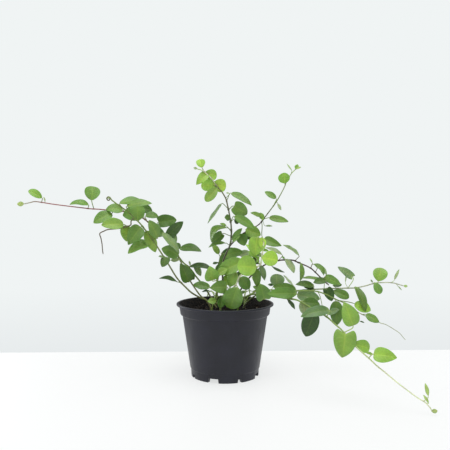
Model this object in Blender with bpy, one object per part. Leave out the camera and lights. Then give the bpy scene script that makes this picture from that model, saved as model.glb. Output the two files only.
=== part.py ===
import math
import random

import bpy
import bmesh
from mathutils import Vector

# Potted periwinkle: a black nursery pot full of peat, with long leafy stems rooted in it.
# The pot stands on z = 0 with its axis on x = y = 0. Metres; the lists of places are millimetres.

MM = 0.001

# Pot, radii and heights in millimetres
RIM_R = 65.0
RIM_TOP = 96.4
COLLAR_R = 61.2
COLLAR_FOOT_R = 59.6
COLLAR_FOOT_Z = 82.0
WALL_TOP_R = 57.0
WALL_FOOT_R = 45.9
LINE_Z = 11.0
FOOT_R = 45.0
WALL = 1.6
FLOOR_TOP = 8.0
FLOOR_UNDER = 6.0
BOSS_R = 13.0
FOOT_IN_R = 39.5
POT_SIDES = 32
NOTCH_HIGH = 5.4
NOTCH_WIDE = 18.0
NOTCH_TURNS = (-20.0, 70.0, 160.0, 250.0)
SLOT_WIDE = 5.0
SLOT_TURNS = (25.0, -65.0, 115.0, 205.0)
HOLE_R = 4.0
HOLE_RING_R = 27.0
HOLES = 6

# Peat
GAP = 0.3
SOIL_TOP = 88.0
SOIL_LUMP = 1.3
SOIL_SIDES = 24

# Stems and blades
ROOT_FOOT = 76.0
STEM_SIDES = 4
BLADE_THICK = 0.7
PETIOLE_R = 0.6
CUP = 0.10
PROUD = 1.05
EYE = Vector((0.0, -0.786, 0.222))

for old in list(bpy.data.objects):
    bpy.data.objects.remove(old)


def material(name, colour, rough):
    mat = bpy.data.materials.new(name)
    mat.use_nodes = True
    shader = mat.node_tree.nodes["Principled BSDF"]
    shader.inputs["Base Color"].default_value = (*colour, 1.0)
    shader.inputs["Roughness"].default_value = rough
    mat.diffuse_color = (*colour, 1.0)
    return mat


POT_MAT = material("pot_plastic", (0.045, 0.048, 0.055), 0.45)
SOIL_MAT = material("soil", (0.020, 0.014, 0.010), 0.95)
LEAF_MAT = material("leaf_green", (0.10, 0.22, 0.05), 0.45)
YOUNG_MAT = material("young_leaf", (0.27, 0.47, 0.08), 0.45)


def solid(name, verts, faces, mat=None):
    """A closed mesh from its corners and faces, all faces turned outward."""
    mesh = bpy.data.meshes.new(name)
    mesh.from_pydata([tuple(v) for v in verts], [], faces)
    shape = bmesh.new()
    shape.from_mesh(mesh)
    bmesh.ops.recalc_face_normals(shape, faces=shape.faces)
    shape.to_mesh(mesh)
    shape.free()
    obj = bpy.data.objects.new(name, mesh)
    bpy.context.scene.collection.objects.link(obj)
    if mat is not None:
        mesh.materials.append(mat)
    return obj


def turned(name, profile, sides, mat=None):
    """A solid of revolution about the upright axis; profile is (radius, height) in mm, axis to axis."""
    verts = []
    rings = []
    for radius, height in profile:
        if radius < 1e-6:
            rings.append([len(verts)])
            verts.append(Vector((0.0, 0.0, height * MM)))
            continue
        ring = []
        for k in range(sides):
            turn = 2.0 * math.pi * k / sides
            ring.append(len(verts))
            verts.append(Vector((radius * math.cos(turn), radius * math.sin(turn), height)) * MM)
        rings.append(ring)
    faces = []
    for low, high in zip(rings, rings[1:]):
        for k in range(sides):
            n = (k + 1) % sides
            if len(low) == 1:
                faces.append((low[0], high[n], high[k]))
            elif len(high) == 1:
                faces.append((low[k], low[n], high[0]))
            else:
                faces.append((low[k], low[n], high[n], high[k]))
    return solid(name, verts, faces, mat)


def box(name, centre, size, turn):
    """A plain block, size in mm, turned about the upright axis through the pot's middle."""
    verts = []
    cos_t = math.cos(turn)
    sin_t = math.sin(turn)
    for sx in (-0.5, 0.5):
        for sy in (-0.5, 0.5):
            for sz in (-0.5, 0.5):
                x = centre[0] + sx * size[0]
                y = centre[1] + sy * size[1]
                z = centre[2] + sz * size[2]
                verts.append(Vector((x * cos_t - y * sin_t, x * sin_t + y * cos_t, z)) * MM)
    faces = [(0, 1, 3, 2), (4, 6, 7, 5), (0, 4, 5, 1), (2, 3, 7, 6), (0, 2, 6, 4), (1, 5, 7, 3)]
    return solid(name, verts, faces)


def post(name, x, y, low, high, radius, sides):
    """An upright rod, all in mm."""
    verts = []
    for z in (low, high):
        for k in range(sides):
            turn = 2.0 * math.pi * (k + 0.5) / sides
            verts.append(Vector((x + radius * math.cos(turn), y + radius * math.sin(turn), z)) * MM)
    faces = [tuple(range(sides)), tuple(range(sides, 2 * sides))]
    for k in range(sides):
        n = (k + 1) % sides
        faces.append((k, n, n + sides, k + sides))
    return solid(name, verts, faces)


def combine(target, others, kind, solver):
    """Joins the others to the target, or cuts them out of it, and removes them."""
    group = bpy.data.collections.new(target.name + "_parts")
    bpy.context.scene.collection.children.link(group)
    for obj in others:
        group.objects.link(obj)
    change = target.modifiers.new("combine", "BOOLEAN")
    change.operation = kind
    change.operand_type = "COLLECTION"
    change.collection = group
    change.solver = solver
    graph = bpy.context.evaluated_depsgraph_get()
    mesh = bpy.data.meshes.new_from_object(target.evaluated_get(graph))
    target.modifiers.clear()
    target.data = mesh
    for obj in others:
        bpy.data.objects.remove(obj)
    bpy.data.collections.remove(group)
    return target


def tidy(obj, mat):
    """Welds touching corners and splits every face into triangles."""
    shape = bmesh.new()
    shape.from_mesh(obj.data)
    bmesh.ops.remove_doubles(shape, verts=shape.verts, dist=0.000001)
    bmesh.ops.triangulate(shape, faces=shape.faces)
    shape.to_mesh(obj.data)
    shape.free()
    obj.data.materials.clear()
    obj.data.materials.append(mat)


# Pot: one moulding with a rolled lip, a stepped collar, a tapering wall and a notched foot
outer = [
    (0.0, 0.0), (BOSS_R, 0.0), (BOSS_R + 0.6, FLOOR_UNDER), (FOOT_IN_R - 0.4, FLOOR_UNDER),
    (FOOT_IN_R, 0.0), (FOOT_R, 0.0), (45.6, LINE_Z - 0.5), (WALL_FOOT_R + 0.6, LINE_Z + 0.3),
    (WALL_TOP_R, COLLAR_FOOT_Z - 0.8), (COLLAR_FOOT_R, COLLAR_FOOT_Z + 0.3),
    (COLLAR_R, RIM_TOP - 3.0), (RIM_R, RIM_TOP - 1.9), (RIM_R - 0.3, RIM_TOP),
]
inner = [
    (60.4, RIM_TOP), (COLLAR_FOOT_R - WALL, COLLAR_FOOT_Z + 2.2),
    (WALL_TOP_R - WALL, COLLAR_FOOT_Z - 0.4), (43.4, FLOOR_TOP), (0.0, FLOOR_TOP),
]
pot = turned("pot", outer + inner, POT_SIDES, POT_MAT)
cuts = []
for turn in NOTCH_TURNS:
    wide = 2.0 * 42.0 * math.tan(math.radians(NOTCH_WIDE / 2.0))
    cuts.append(box("cut", (0.0, -43.0, NOTCH_HIGH / 2 - 1.0), (wide, 12.0, NOTCH_HIGH + 2.0),
                    math.radians(turn)))
for turn in SLOT_TURNS:
    cuts.append(box("cut", (0.0, -43.0, 1.3), (SLOT_WIDE, 12.0, 6.0), math.radians(turn)))
for k in range(HOLES):
    turn = 2.0 * math.pi * (k + 0.5) / HOLES
    cuts.append(post("cut", HOLE_RING_R * math.cos(turn), HOLE_RING_R * math.sin(turn), 3.0, 11.0,
                     HOLE_R, 8))
combine(pot, cuts, "DIFFERENCE", "EXACT")
tidy(pot, POT_MAT)


def sight(across, up, depth):
    """The place seen at (across, up) mm on the upright plane through the pot's axis, carried along
    the line from the eye to depth mm behind that plane (in front of it when negative)."""
    eye = EYE / MM
    k = (depth - eye.y) / -eye.y
    return Vector((across * k, depth, eye.z + (up - eye.z) * k)) * MM


def spin_frame(points):
    """Directions along a bent line and one steady sideways direction at each of its points."""
    count = len(points)
    along = []
    for k in range(count):
        ahead = points[min(k + 1, count - 1)] - points[max(k - 1, 0)]
        along.append(ahead.normalized())
    start = Vector((1.0, 0.0, 0.0)) if abs(along[0].x) < 0.8 else Vector((0.0, 1.0, 0.0))
    side = (start - along[0] * start.dot(along[0])).normalized()
    sides = [side]
    for k in range(1, count):
        side = sides[-1] - along[k] * sides[-1].dot(along[k])
        sides.append(side.normalized())
    return along, sides


def rod(name, points, radii, sides):
    """A round rod along a bent line, with flat ends."""
    along, across = spin_frame(points)
    verts = []
    for p, a, s, r in zip(points, along, across, radii):
        t = a.cross(s)
        for k in range(sides):
            turn = 2.0 * math.pi * k / sides
            verts.append(p + (s * math.cos(turn) + t * math.sin(turn)) * r * MM)
    faces = [tuple(range(sides))]
    for ring in range(len(points) - 1):
        for k in range(sides):
            n = (k + 1) % sides
            low = ring * sides
            faces.append((low + k, low + n, low + n + sides, low + k + sides))
    last = (len(points) - 1) * sides
    faces.append(tuple(range(last, last + sides)))
    return solid(name, verts, faces)


# Outline of a blade: rows across it, how far it swells, how full it is, how far its lobes sweep back
FORMS = {
    "oval": ((0.14, 0.45, 0.80), 0.85, 0.70, 0.03),
    "heart": ((0.08, 0.38, 0.76), 0.62, 0.62, 0.14),
    "deep": ((0.08, 0.36, 0.76), 0.62, 0.62, 0.24),
    "round": ((0.16, 0.50, 0.82), 1.15, 0.65, 0.0),
    "egg": ((0.10, 0.36, 0.74), 0.62, 0.76, 0.02),
    "lance": ((0.26, 0.68), 0.90, 0.85, 0.0),
    "small": ((0.28, 0.72), 0.90, 0.75, 0.0),
}


def half_width(s, wide, form):
    """Half the blade's width at the share s of its length."""
    swell, full = FORMS[form][1:3]
    return wide / 2.0 * PROUD * math.sin(math.pi * s ** swell) ** full


def blade_frame(base, tip, look, roll):
    """Along the blade, its upper face's direction and the direction across it."""
    axis = (tip - base).normalized()
    face = (look - axis * look.dot(axis)).normalized()
    lift = axis.cross(face)
    if lift.z + 0.3 * lift.x < 0.0:
        lift = -lift
    turn = math.radians(roll)
    normal = face * math.cos(turn) + lift * math.sin(turn)
    return axis, normal, axis.cross(normal)


def blade(name, base, tip, look, wide, roll, bow, form):
    """One leaf blade: a thin bent plate, pointed at both ends, with slightly cupped sides."""
    axis, normal, across = blade_frame(base, tip, look, roll)
    length = (tip - base).length
    rows, swell, full, lobe = FORMS[form]
    verts = []
    for s in (0.0,) + rows + (1.0,):
        middle = base + axis * length * s + normal * bow * length * 4.0 * s * (1.0 - s)
        slope = axis + normal * bow * 4.0 * (1.0 - 2.0 * s)
        up = across.cross(slope).normalized()
        if up.dot(normal) < 0.0:
            up = -up
        shares = (0.0,) if s in (0.0, 1.0) else (-1.0, 0.0, 1.0)
        for q in shares:
            half = 0.0 if q == 0.0 else half_width(s, wide, form) * MM
            back = lobe * length * abs(q) * (1.0 - s) ** 3
            p = middle + across * half * q + up * CUP * half * abs(q) - axis * back
            verts.append(p + up * BLADE_THICK * MM / 2.0)
            verts.append(p - up * BLADE_THICK * MM / 2.0)
    last = 2 + (len(rows) - 1) * 6
    end = last + 6
    faces = []
    for start in range(2, last, 6):
        for q in (0, 2):
            a = start + q
            c = a + 6
            faces += [(a, a + 2, c + 2), (a, c + 2, c), (a + 1, c + 3, a + 3), (a + 1, c + 1, c + 3)]
        for q in (0, 4):
            a = start + q
            faces += [(a, a + 6, a + 7), (a, a + 7, a + 1)]
    for point, row in ((0, 2), (end, last)):
        for q in (0, 2):
            faces += [(point, row + q, row + q + 2), (point + 1, row + q + 3, row + q + 1)]
        for q in (0, 4):
            faces += [(point, row + q, row + q + 1), (point, row + q + 1, point + 1)]
    return solid(name, verts, faces)


def nearest(routes, across, up):
    """The depth of the stem nearest to a seen place, and that place on it."""
    best = None
    for route in routes:
        for (x0, z0, d0), (x1, z1, d1) in zip(route, route[1:]):
            span = (x1 - x0) ** 2 + (z1 - z0) ** 2
            t = ((across - x0) * (x1 - x0) + (up - z0) * (z1 - z0)) / max(span, 1e-9)
            t = min(max(t, 0.0), 1.0)
            x = x0 + t * (x1 - x0)
            z = z0 + t * (z1 - z0)
            far = (across - x) ** 2 + (up - z) ** 2
            if best is None or far < best[0]:
                best = (far, x, z, d0 + t * (d1 - d0))
    return best[1:]


def leaf(routes, row):
    """A blade on its petiole. The row gives, in seen millimetres, where the petiole leaves the stem,
    the blade's base and its tip, then how far base and tip lie behind the stem there, the blade's
    width, its roll away from the eye in degrees, its bow and its outline."""
    rx, rz, bx, bz, tx, tz, base_out, tip_out, wide, roll, bow, form = row
    x, z, depth = nearest(routes, rx, rz)
    root = sight(x, z, depth)
    base = sight(bx, bz, depth + base_out)
    tip = sight(tx, tz, depth + tip_out)
    return leaf_at(root, base, tip, EYE - (base + tip) / 2.0, wide, roll, bow, form)


def leaf_at(root, base, tip, look, wide, roll, bow, form):
    """The petiole starts at the stem's middle and ends a little way up the blade."""
    axis, normal, across = blade_frame(base, tip, look, roll)
    length = (tip - base).length
    plate = blade("blade", base, tip, look, wide, roll, bow, form)
    s = 0.14
    sunk = base + axis * length * s + normal * bow * length * 4.0 * s * (1.0 - s)
    thick = min(PETIOLE_R, 0.35 + wide * 0.03)
    return [plate, rod("petiole", [root, sunk], [thick * 1.15, 0.3], 3)]


def stem_points(route, foot):
    """A stem's line in metres; a rooted stem first rises upright out of the peat at its foot."""
    points = []
    if foot is not None:
        for z in (ROOT_FOOT, SOIL_TOP + 2.2):
            points.append(Vector((foot[0], foot[1], z)) * MM)
    for across, up, depth in route:
        points.append(sight(across, up, depth))
    return points


def stem(name, points, thick, thin):
    radii = []
    for k in range(len(points)):
        radii.append(thick + (thin - thick) * k / (len(points) - 1))
    return rod(name, points, radii, STEM_SIDES)


def shoot(name, foot, thick, thin, route, twigs, leaves, mat):
    """One rooted stem with its side stems and leaves, fused into one body."""
    pieces = []
    for side_stem in twigs:
        pieces.append(stem("twig", stem_points(side_stem, None), min(thick, 0.85), 0.6))
    for row in leaves:
        pieces += leaf([route] + twigs, row)
    body = stem(name, stem_points(route, foot), thick, thin)
    combine(body, pieces, "UNION", "MANIFOLD")
    tidy(body, mat)
    FEET.append((foot, thick))
    return body


FEET = []

# Lower left stem: rises to the left in front of the others and ends in a small hook
LEFT_LOW_FOOT = (-19.0, -6.0)
LEFT_LOW = [
    (-25, 99.5, -8), (-33, 103, -9), (-45, 110, -12), (-52, 116.5, -14),
    (-57, 121.5, -15), (-65, 130.5, -17), (-76, 148.5, -21), (-89, 169, -27),
    (-94, 177, -29), (-99, 184, -31), (-112, 201, -35), (-120, 209, -36),
    (-130, 218.5, -37), (-140, 225.5, -37), (-148, 231.5, -36.5), (-151.6, 234.3, -36.5),
    (-153.2, 237, -36.5), (-155.6, 238.4, -36), (-157.8, 236.8, -35), (-157, 234.2, -33.8),
    (-154.6, 233.9, -32.8), (-153.8, 236, -32),
]
LEFT_LOW_TWIGS = [[
    (-121.5, 210.5, -36), (-125.5, 206, -37), (-126, 201, -37.5), (-131, 198.8, -38),
    (-142, 196, -38), (-156, 194.7, -37), (-162, 192.5, -36), (-167.5, 189.3, -35),
    (-166, 183, -35), (-164.7, 176, -35), (-164, 168, -35), (-163.2, 161.5, -35),
]]
LEFT_LOW_LEAVES = [
    (-59, 122.5, -64, 124.5, -88.5, 129, -3, -12, 11, 62, 0.08, "lance"),
    (-78.5, 152, -78.5, 157.5, -84.5, 144.5, -4, -9, 11.5, 12, 0.05, "heart"),
    (-79.5, 154.5, -82, 157, -89, 159, -3, -7, 4.5, 50, 0.05, "small"),
    (-104, 192, -106, 192.5, -92.5, 164, 3, 5, 14, 10, 0.05, "oval"),
    (-97, 181, -101, 176.5, -130, 162.3, 3, -10, 17, 42, 0.10, "oval"),
    (-110, 199, -112.5, 198, -130, 174, -4, -12, 19, 8, 0.05, "egg"),
    (-97, 182, -90, 184, -101.5, 207.5, -4, -8, 14, 20, 0.06, "oval"),
    (-138, 224.5, -140.5, 229.5, -110, 233.5, -1, 8, 14, 50, 0.05, "oval"),
    (-127, 216, -131, 226, -97.5, 230.5, -5, -2, 12.5, 44, 0.06, "oval"),
    (-131, 199, -136, 201.5, -165.5, 201, -2, -13, 16, 30, 0.06, "oval"),
    (-131, 199, -133, 200, -131.5, 178, 2, 5, 14, 12, 0.06, "egg"),
    (-153.8, 236, -154.4, 236.6, -158, 237.2, 0.2, 0.6, 3.4, 30, 0.1, "small"),
]

# Far left stem: long, reddish, nearly level, with a pale bud at its end
LEFT_FAR_FOOT = (-5.0, 15.0)
LEFT_FAR = [
    (-15, 97, 13), (-20, 105.5, 12), (-26, 115, 12), (-31, 122, 12), (-35, 127, 13),
    (-39.5, 132.5, 14), (-44, 139, 15), (-49.5, 145, 16), (-56, 150.5, 18), (-61, 157, 19),
    (-66, 164, 20), (-72, 172, 22), (-79, 180.5, 24), (-84, 187, 25), (-92, 195, 26),
    (-100, 202, 27), (-107, 208, 27), (-114, 212, 26), (-123, 216, 24), (-134, 218.5, 20),
    (-146, 220, 15), (-160, 221, 10), (-170, 221.9, 8), (-180, 222.4, 6), (-190, 223.6, 4),
    (-210, 226, 0), (-230, 228.6, -4), (-245, 231, -7), (-254, 232, -9), (-260, 230.8, -10),
    (-268.5, 228.9, -12),
]
LEFT_FAR_LEAVES = [
    (-267, 229, -268.5, 229, -278, 229, 0, 0, 6.2, 10, 0.0, "small"),
    (-245, 231, -244.5, 237, -262.5, 247, -1, -9, 11, 28, 0.06, "round"),
    (-240, 230.2, -240.5, 232.5, -241.7, 238.5, 1, 6, 3.5, 60, 0.0, "small"),
    (-183, 222.9, -182.6, 227.8, -208, 228.5, -2, -12, 13, 56, 0.15, "oval"),
    (-175.5, 222.4, -178, 233.5, -177.5, 252.5, 2, 8, 20, 0, 0.06, "round"),
    (-134, 218.5, -137, 221, -159.5, 222, -5, -12, 15, 34, 0.12, "oval"),
    (-150, 220, -151.5, 216, -176, 203.5, -5, -16, 16.5, 25, 0.06, "oval"),
    (-112, 210.5, -108, 218, -137, 213.5, -7, -14, 21, 8, 0.08, "oval"),
    (-118, 214, -118, 228.5, -117, 205.5, -18.5, -21, 20, 5, 0.06, "oval"),
    (-107, 208, -112, 224, -97, 219.5, 4, 10, 12.5, 18, 0.05, "oval"),
    (-104, 205, -106, 213, -88, 212, 2, 9, 12.5, 42, 0.10, "oval"),
    (-84, 187, -89, 204.5, -64.5, 207.5, 3, 10, 17, 6, 0.06, "heart"),
    (-84, 188, -87.5, 190.5, -99, 203, -3, -5, 13, 30, 0.06, "oval"),
    (-66, 164, -60, 169.5, -31.5, 165.3, -2, -14, 14, 42, 0.10, "oval"),
    (-50, 145.5, -47.5, 144.8, -18, 142.8, -3, -12, 11.5, 50, 0.08, "oval"),
    (-50, 145, -38.5, 145, -32.5, 132, -1, -5, 9, 22, 0.05, "heart"),
    (-47, 142.5, -46.8, 146.5, -48, 152.8, 0, 4, 3.5, 40, 0.0, "small"),
]

# Middle left stem: between the other two, ending in dark leaves
LEFT_MID_FOOT = (-12.0, 4.0)
LEFT_MID = [
    (-20, 96.5, 3), (-28, 102, 2), (-33, 106, 2), (-38, 112.5, 1), (-42, 118.5, 1), (-46, 124.5, 0),
    (-50, 132, 0), (-55, 143, -1), (-59, 151, -2), (-63, 158.5, -2), (-67, 165, -3),
    (-71, 172, -4), (-75, 179, -4), (-79, 186, -5), (-82, 190, -5),
]
LEFT_MID_LEAVES = [
    (-80, 188, -78, 184.5, -56, 205.5, -3, -9, 14, 10, 0.06, "oval"),
    (-78, 185, -75.5, 187.5, -68.5, 177.5, -4, -7, 10.5, 8, 0.0, "oval"),
    (-74, 177, -68.5, 190.5, -65.5, 176, -7, -8, 5, 20, 0.0, "small"),
    (-67, 165, -64.5, 177, -60.3, 169, 0, -3, 6, 10, 0.0, "small"),
    (-82, 190, -83.5, 189.5, -60.5, 163, -10, -12, 13, 44, 0.05, "oval"),
    (-63, 158.5, -62.5, 160.5, -85, 169.5, -4, -11, 16.5, 6, 0.08, "oval"),
    (-61, 155, -72.5, 153.5, -60.5, 154.5, -3, -5, 6.5, 25, 0.0, "small"),
    (-47, 127, -49, 124.5, -60, 149.5, -5, -9, 17, 10, 0.04, "egg"),
    (-79, 186, -82, 187.5, -101, 196, 3, 6, 13, 15, 0.05, "oval"),
    (-48, 128, -50, 140, -41, 127.5, 2, 4, 10, 10, 0.0, "oval"),
]

# Crown: the tallest stem, forking low down into a second one that leans right
CROWN_FOOT = (3.0, 6.0)
CROWN = [
    (1, 95, 5), (-1.5, 110, 4), (-3.2, 130, 3), (-2.5, 151, 2), (1.8, 163, 2), (6.7, 174, 1),
    (8.5, 187, 0), (8.2, 200, -1), (7.3, 206, -1), (5.5, 217, -2), (4.5, 222, -2), (3, 229, -3),
    (1.5, 235, -3), (-1, 240, -4), (-5, 246, -5), (-11, 252.5, -7), (-17, 261.5, -8),
    (-22, 266.5, -9), (-28.5, 272.5, -11), (-33, 274.5, -12), (-37, 275.5, -13),
]
CROWN_TWIGS = [[
    (6.7, 173, 1), (11, 177.5, 2), (15, 182, 3), (20, 186, 4), (25, 190, 6), (33, 194, 8),
    (40, 198, 9), (44, 200.5, 10), (47, 203, 10), (51, 208, 11), (57, 216, 12), (63, 224, 12),
    (69, 232.5, 12), (75, 243, 12), (80, 253, 11), (81.5, 257, 11), (87, 267, 10),
    (90, 271, 10), (94, 275, 9),
]]
CROWN_LEAVES = [
    (8, 205, 12.3, 208, 18, 202.5, 3, 6, 6, 20, 0.0, "small"),
    (-28, 272, -30.5, 277.3, -34.3, 288.3, 1, 5, 11.5, 5, 0.06, "round"),
    (-36, 275.2, -37, 276, -42, 277.3, 0, 0, 3.2, 10, 0.0, "small"),
    (-23, 267, -29, 267.5, -10.5, 268, 2, 6, 14.5, 3, 0.06, "round"),
    (-28, 272, -24, 269.5, -38.5, 254.3, 2.2, -3, 12.5, 14, 0.08, "egg"),
    (-12, 254, -10.5, 255, -32.3, 252.8, 2.2, 6, 14.5, 5, 0.06, "round"),
    (-11, 252.5, -10, 250.5, -26, 232.3, -3, -9, 12.5, 6, 0.06, "round"),
    (-9, 250.5, -17, 255, 1.8, 252.5, 2.6, 7, 17, 3, 0.06, "round"),
    (2.3, 233, 8.5, 243.3, 36, 227, -2, -11, 10.4, 34, 0.06, "oval"),
    (5, 238.5, 5.5, 242.8, 1.5, 244, -1, 3, 2.7, 34, 0.0, "small"),
    (4.5, 222, -5.2, 229, -24, 203.5, -2, -12, 12, 68, -0.02, "egg"),
    (4.7, 221.5, 12, 226, 30, 215, 2, 8, 18.5, 6, 0.06, "heart"),
    (6.8, 209, 6.5, 211, -0.5, 210.5, -2, -6, 8.5, 5, 0.0, "small"),
    (8, 205, 13, 212.5, 40, 195.5, -3.5, -10, 11.5, 12, 0.05, "oval"),
    (8.5, 194, 2, 197, -18.5, 177, -3, -8, 14.5, 56, 0.34, "oval"),
    (8.5, 186, -3.5, 189, -17.5, 177.5, 0, 5, 12, 8, 0.05, "heart"),
    (5, 174, 1, 176.5, -22.5, 171, -2, -9, 9.5, 56, 0.12, "lance"),
    (8.6, 191, 2, 199, -7, 203, 3, 7, 5, 45, 0.05, "small"),
    (8.8, 184, 9.5, 181, 23, 196.5, -3, -6, 9, 30, 0.05, "lance"),
    (7.5, 177, 10, 178.5, 20, 186, -6, -10, 8, 45, 0.0, "small"),
    (20, 186, 20, 188.5, 26, 173, -4, -7, 14.5, 5, 0.0, "oval"),
    (22, 187.5, 23, 187, 43, 184, 2, 4, 11, 25, 0.05, "oval"),
    (33, 194, 28, 194.5, 48, 187, -3, -6, 16, 10, 0.06, "oval"),
    (51, 208, 50, 212, 34, 217.3, -2, -8, 7, 36, 0.05, "oval"),
    (49, 205.5, 51, 207.5, 47, 217.5, -3, -2, 7, 15, 0.0, "small"),
    (52, 209, 59.5, 210.5, 85, 205.3, -2, -11, 9.5, 22, 0.06, "oval"),
    (50, 207, 54, 199.5, 63.5, 199.3, -1, -3, 2.8, 30, 0.0, "small"),
    (49, 205.5, 52.5, 182, 76, 172.8, -4, -12, 12, 10, 0.05, "egg"),
    (65, 227, 68, 236.5, 53, 245.3, -2, 4, 8, 12, 0.05, "oval"),
    (69, 231.5, 70.5, 229.5, 75, 220.5, -1, -4, 4, 20, 0.0, "small"),
    (80.5, 254, 80, 256.5, 79, 270.5, -1, -7, 15, 0, 0.06, "round"),
    (88, 268.5, 89, 273.5, 82.5, 282.8, 0, 3, 2.6, 40, 0.0, "small"),
    (93.5, 274.5, 94.5, 275, 97, 281.8, 0, 1, 5.5, 10, 0.0, "small"),
    (93.5, 274.5, 95, 275.7, 101.5, 278.3, -1, -2, 2.6, 20, 0.0, "small"),
]

# Centre stem: short and leafy behind the front leaves
CENTRE_FOOT = (-12.0, 26.0)
CENTRE = [
    (-10.5, 104, 22), (-10.5, 116, 20), (-9.4, 133, 19), (-8.7, 145, 19), (-7.5, 152, 19),
    (-6, 158, 19), (-3, 163, 19),
]
CENTRE_LEAVES = [
    (-9, 130, -3, 138.5, 14, 141, -3, -5, 11, 20, 0.0, "small"),
    (-6.5, 157, -8.5, 162, -17, 175.5, 1, 5, 8, 15, 0.05, "oval"),
    (-3, 162, 0, 160, 24, 165.5, -4, -9, 14, 20, 0.08, "oval"),
    (-3, 162.5, -5, 163, 17, 168.5, 3, 5, 9, 20, 0.0, "lance"),
    (-9, 136, -6, 142, 8, 156, 2, 6, 14, 10, 0.04, "oval"),
    (-3, 162.5, 20, 160, 33.5, 165, 2, 3, 10, 20, 0.0, "oval"),
    (-8, 149.5, -9, 150.7, -16.5, 148.8, -1, -4, 6.5, 56, 0.0, "small"),
    (-10, 120, -4, 124, 14, 131, 2, 7, 14, 12, 0.05, "oval"),
    (-9, 132, -10, 136, -1, 152, -3, -6, 12, 14, 0.06, "oval"),
    (-8, 149, -6, 150, 8, 164, -4, -6, 11, 20, 0.04, "oval"),
]

# Front stem: bright young leaves standing out toward the front
FRONT_FOOT = (-6.0, -15.0)
FRONT = [
    (-7, 97, -16), (-4, 104, -18), (0, 108, -20), (5, 111, -22), (10, 115.5, -24), (14, 120, -26),
    (17, 126, -28), (20, 132, -30), (27, 138, -32), (35, 142, -33), (43, 144.5, -34),
    (47.5, 148, -35), (48.7, 155, -36), (50, 163, -36), (51.3, 171, -36), (52, 178, -35),
]
FRONT_LEAVES = [
    (52, 177.5, 43, 184, 39.5, 158.5, 3, 0, 20.5, 6, 0.06, "egg"),
    (52, 177.5, 49, 184, 50.8, 167.5, 2, -1, 10, 20, 0.05, "oval"),
    (49.8, 161, 49.5, 157, 70.8, 153, -2, -9, 19, 8, 0.06, "round"),
    (43, 144.5, 42, 144, 16.5, 146, -5, -13, 25, 6, 0.08, "round"),
    (27, 138, 23, 152, -10.5, 136, 8, 10, 19.5, 12, 0.07, "oval"),
    (47.3, 147.5, 40.5, 157.5, 31.5, 166, 4, 6, 8, 35, 0.0, "small"),
    (46, 150.5, 45, 148.5, 37.5, 157, 4, 5, 8, 15, 0.0, "small"),
    (43, 144.5, 41.5, 142, 43.5, 117.5, 3, -1, 11, 14, 0.05, "oval"),
    (47.5, 147.5, 46.5, 148, 53.5, 126, 3, 6, 8, 20, 0.05, "lance"),
    (14, 120, 16.5, 117.5, 6.5, 88.3, -6, -12, 25, 8, 0.07, "round"),
    (17, 126, 20.5, 130.5, 33, 114.5, 2, 7, 15, 8, 0.07, "oval"),
    (5, 111, 2.5, 117.5, -20.5, 116.5, -5, -11, 16.5, 8, 0.07, "egg"),
    (17.5, 127, 14.5, 137, 5, 118, 5, 9, 15, 18, 0.05, "oval"),
    (50, 163, 46, 158, 35, 151, 5, 8, 9, 20, 0.0, "small"),
]

# Low stem: short, close to the peat on the left of the front
LOW_FOOT = (-17.0, -20.0)
LOW = [
    (-15.5, 96, -21), (-13, 104, -22), (-11, 112, -23), (-10, 120, -24), (-11, 128, -25),
    (-12, 133, -25),
]
LOW_LEAVES = [
    (-11, 126, -17.5, 126.5, -20.5, 145.8, -3, -8, 18.5, 8, 0.06, "egg"),
    (-11.5, 131, -9.5, 136, 3, 142, -3, -5, 10, 15, 0.0, "oval"),
    (-10.5, 117, -20.5, 117, -43, 121.5, 2, 8, 11.5, 26, 0.05, "oval"),
    (-12, 108, -21, 112.5, -31, 111.3, 1, 2, 5, 60, 0.0, "small"),
    (-14.5, 100, -11.5, 99.5, -23.5, 98, -4, -8, 8.5, 20, 0.05, "small"),
    (-13, 103, -4.5, 105, -6.5, 88.5, -3, -6, 10, 15, 0.0, "small"),
]

# Upper right stem: dark and slanting, with narrow leaves seen nearly edge-on
RIGHT_HIGH_FOOT = (13.0, 26.0)
RIGHT_HIGH = [
    (14, 99, 26), (20, 112, 25), (30, 127, 24), (42, 139, 22), (53, 147, 20), (62, 151.5, 17),
    (70, 153, 14), (80, 154, 11), (91, 153.5, 8), (97, 151, 7), (104, 148, 5), (110, 145.5, 4),
    (116, 142, 2), (121, 137.5, 1), (126, 132.5, 0), (131, 127.5, -1), (136, 123, -3),
    (139.5, 119.8, -4),
]
RIGHT_HIGH_LEAVES = [
    (94, 152.5, 99, 160, 77.5, 174.2, -2, -9, 10.5, 63, 0.04, "egg"),
    (80, 154, 81, 155, 93, 136.3, -4, -12, 10.5, 34, 0.08, "oval"),
    (79, 154, 79.3, 155, 76.5, 159, -1, 1, 3.5, 40, 0.0, "small"),
    (72, 153.3, 76.5, 161, 54, 171.5, 2, 9, 8.4, 52, 0.03, "lance"),
    (98.5, 150.5, 101, 150.5, 101, 124.5, -4, -8, 7.5, 30, 0.13, "lance"),
    (114.5, 143, 117, 150, 113.5, 156.5, 1, 4, 3, 50, 0.0, "small"),
    (115, 143, 118, 148.5, 133.5, 133, -2, -9, 10, 48, 0.20, "lance"),
    (121, 137.5, 127, 146, 137, 133.5, 2, 4, 7, 40, 0.05, "lance"),
    (136, 123, 133.5, 131, 156, 120.5, 2, 8, 11, 10, 0.06, "egg"),
    (134, 125, 135, 126.5, 118.5, 123.5, -4, -9, 10, 24, 0.05, "oval"),
    (58, 149.7, 62.5, 146, 80, 137.4, -3, -8, 7.5, 62, -0.10, "lance"),
    (131, 127.5, 135, 131, 147, 124.5, 3, 6, 6, 30, 0.04, "small"),
]

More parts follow.
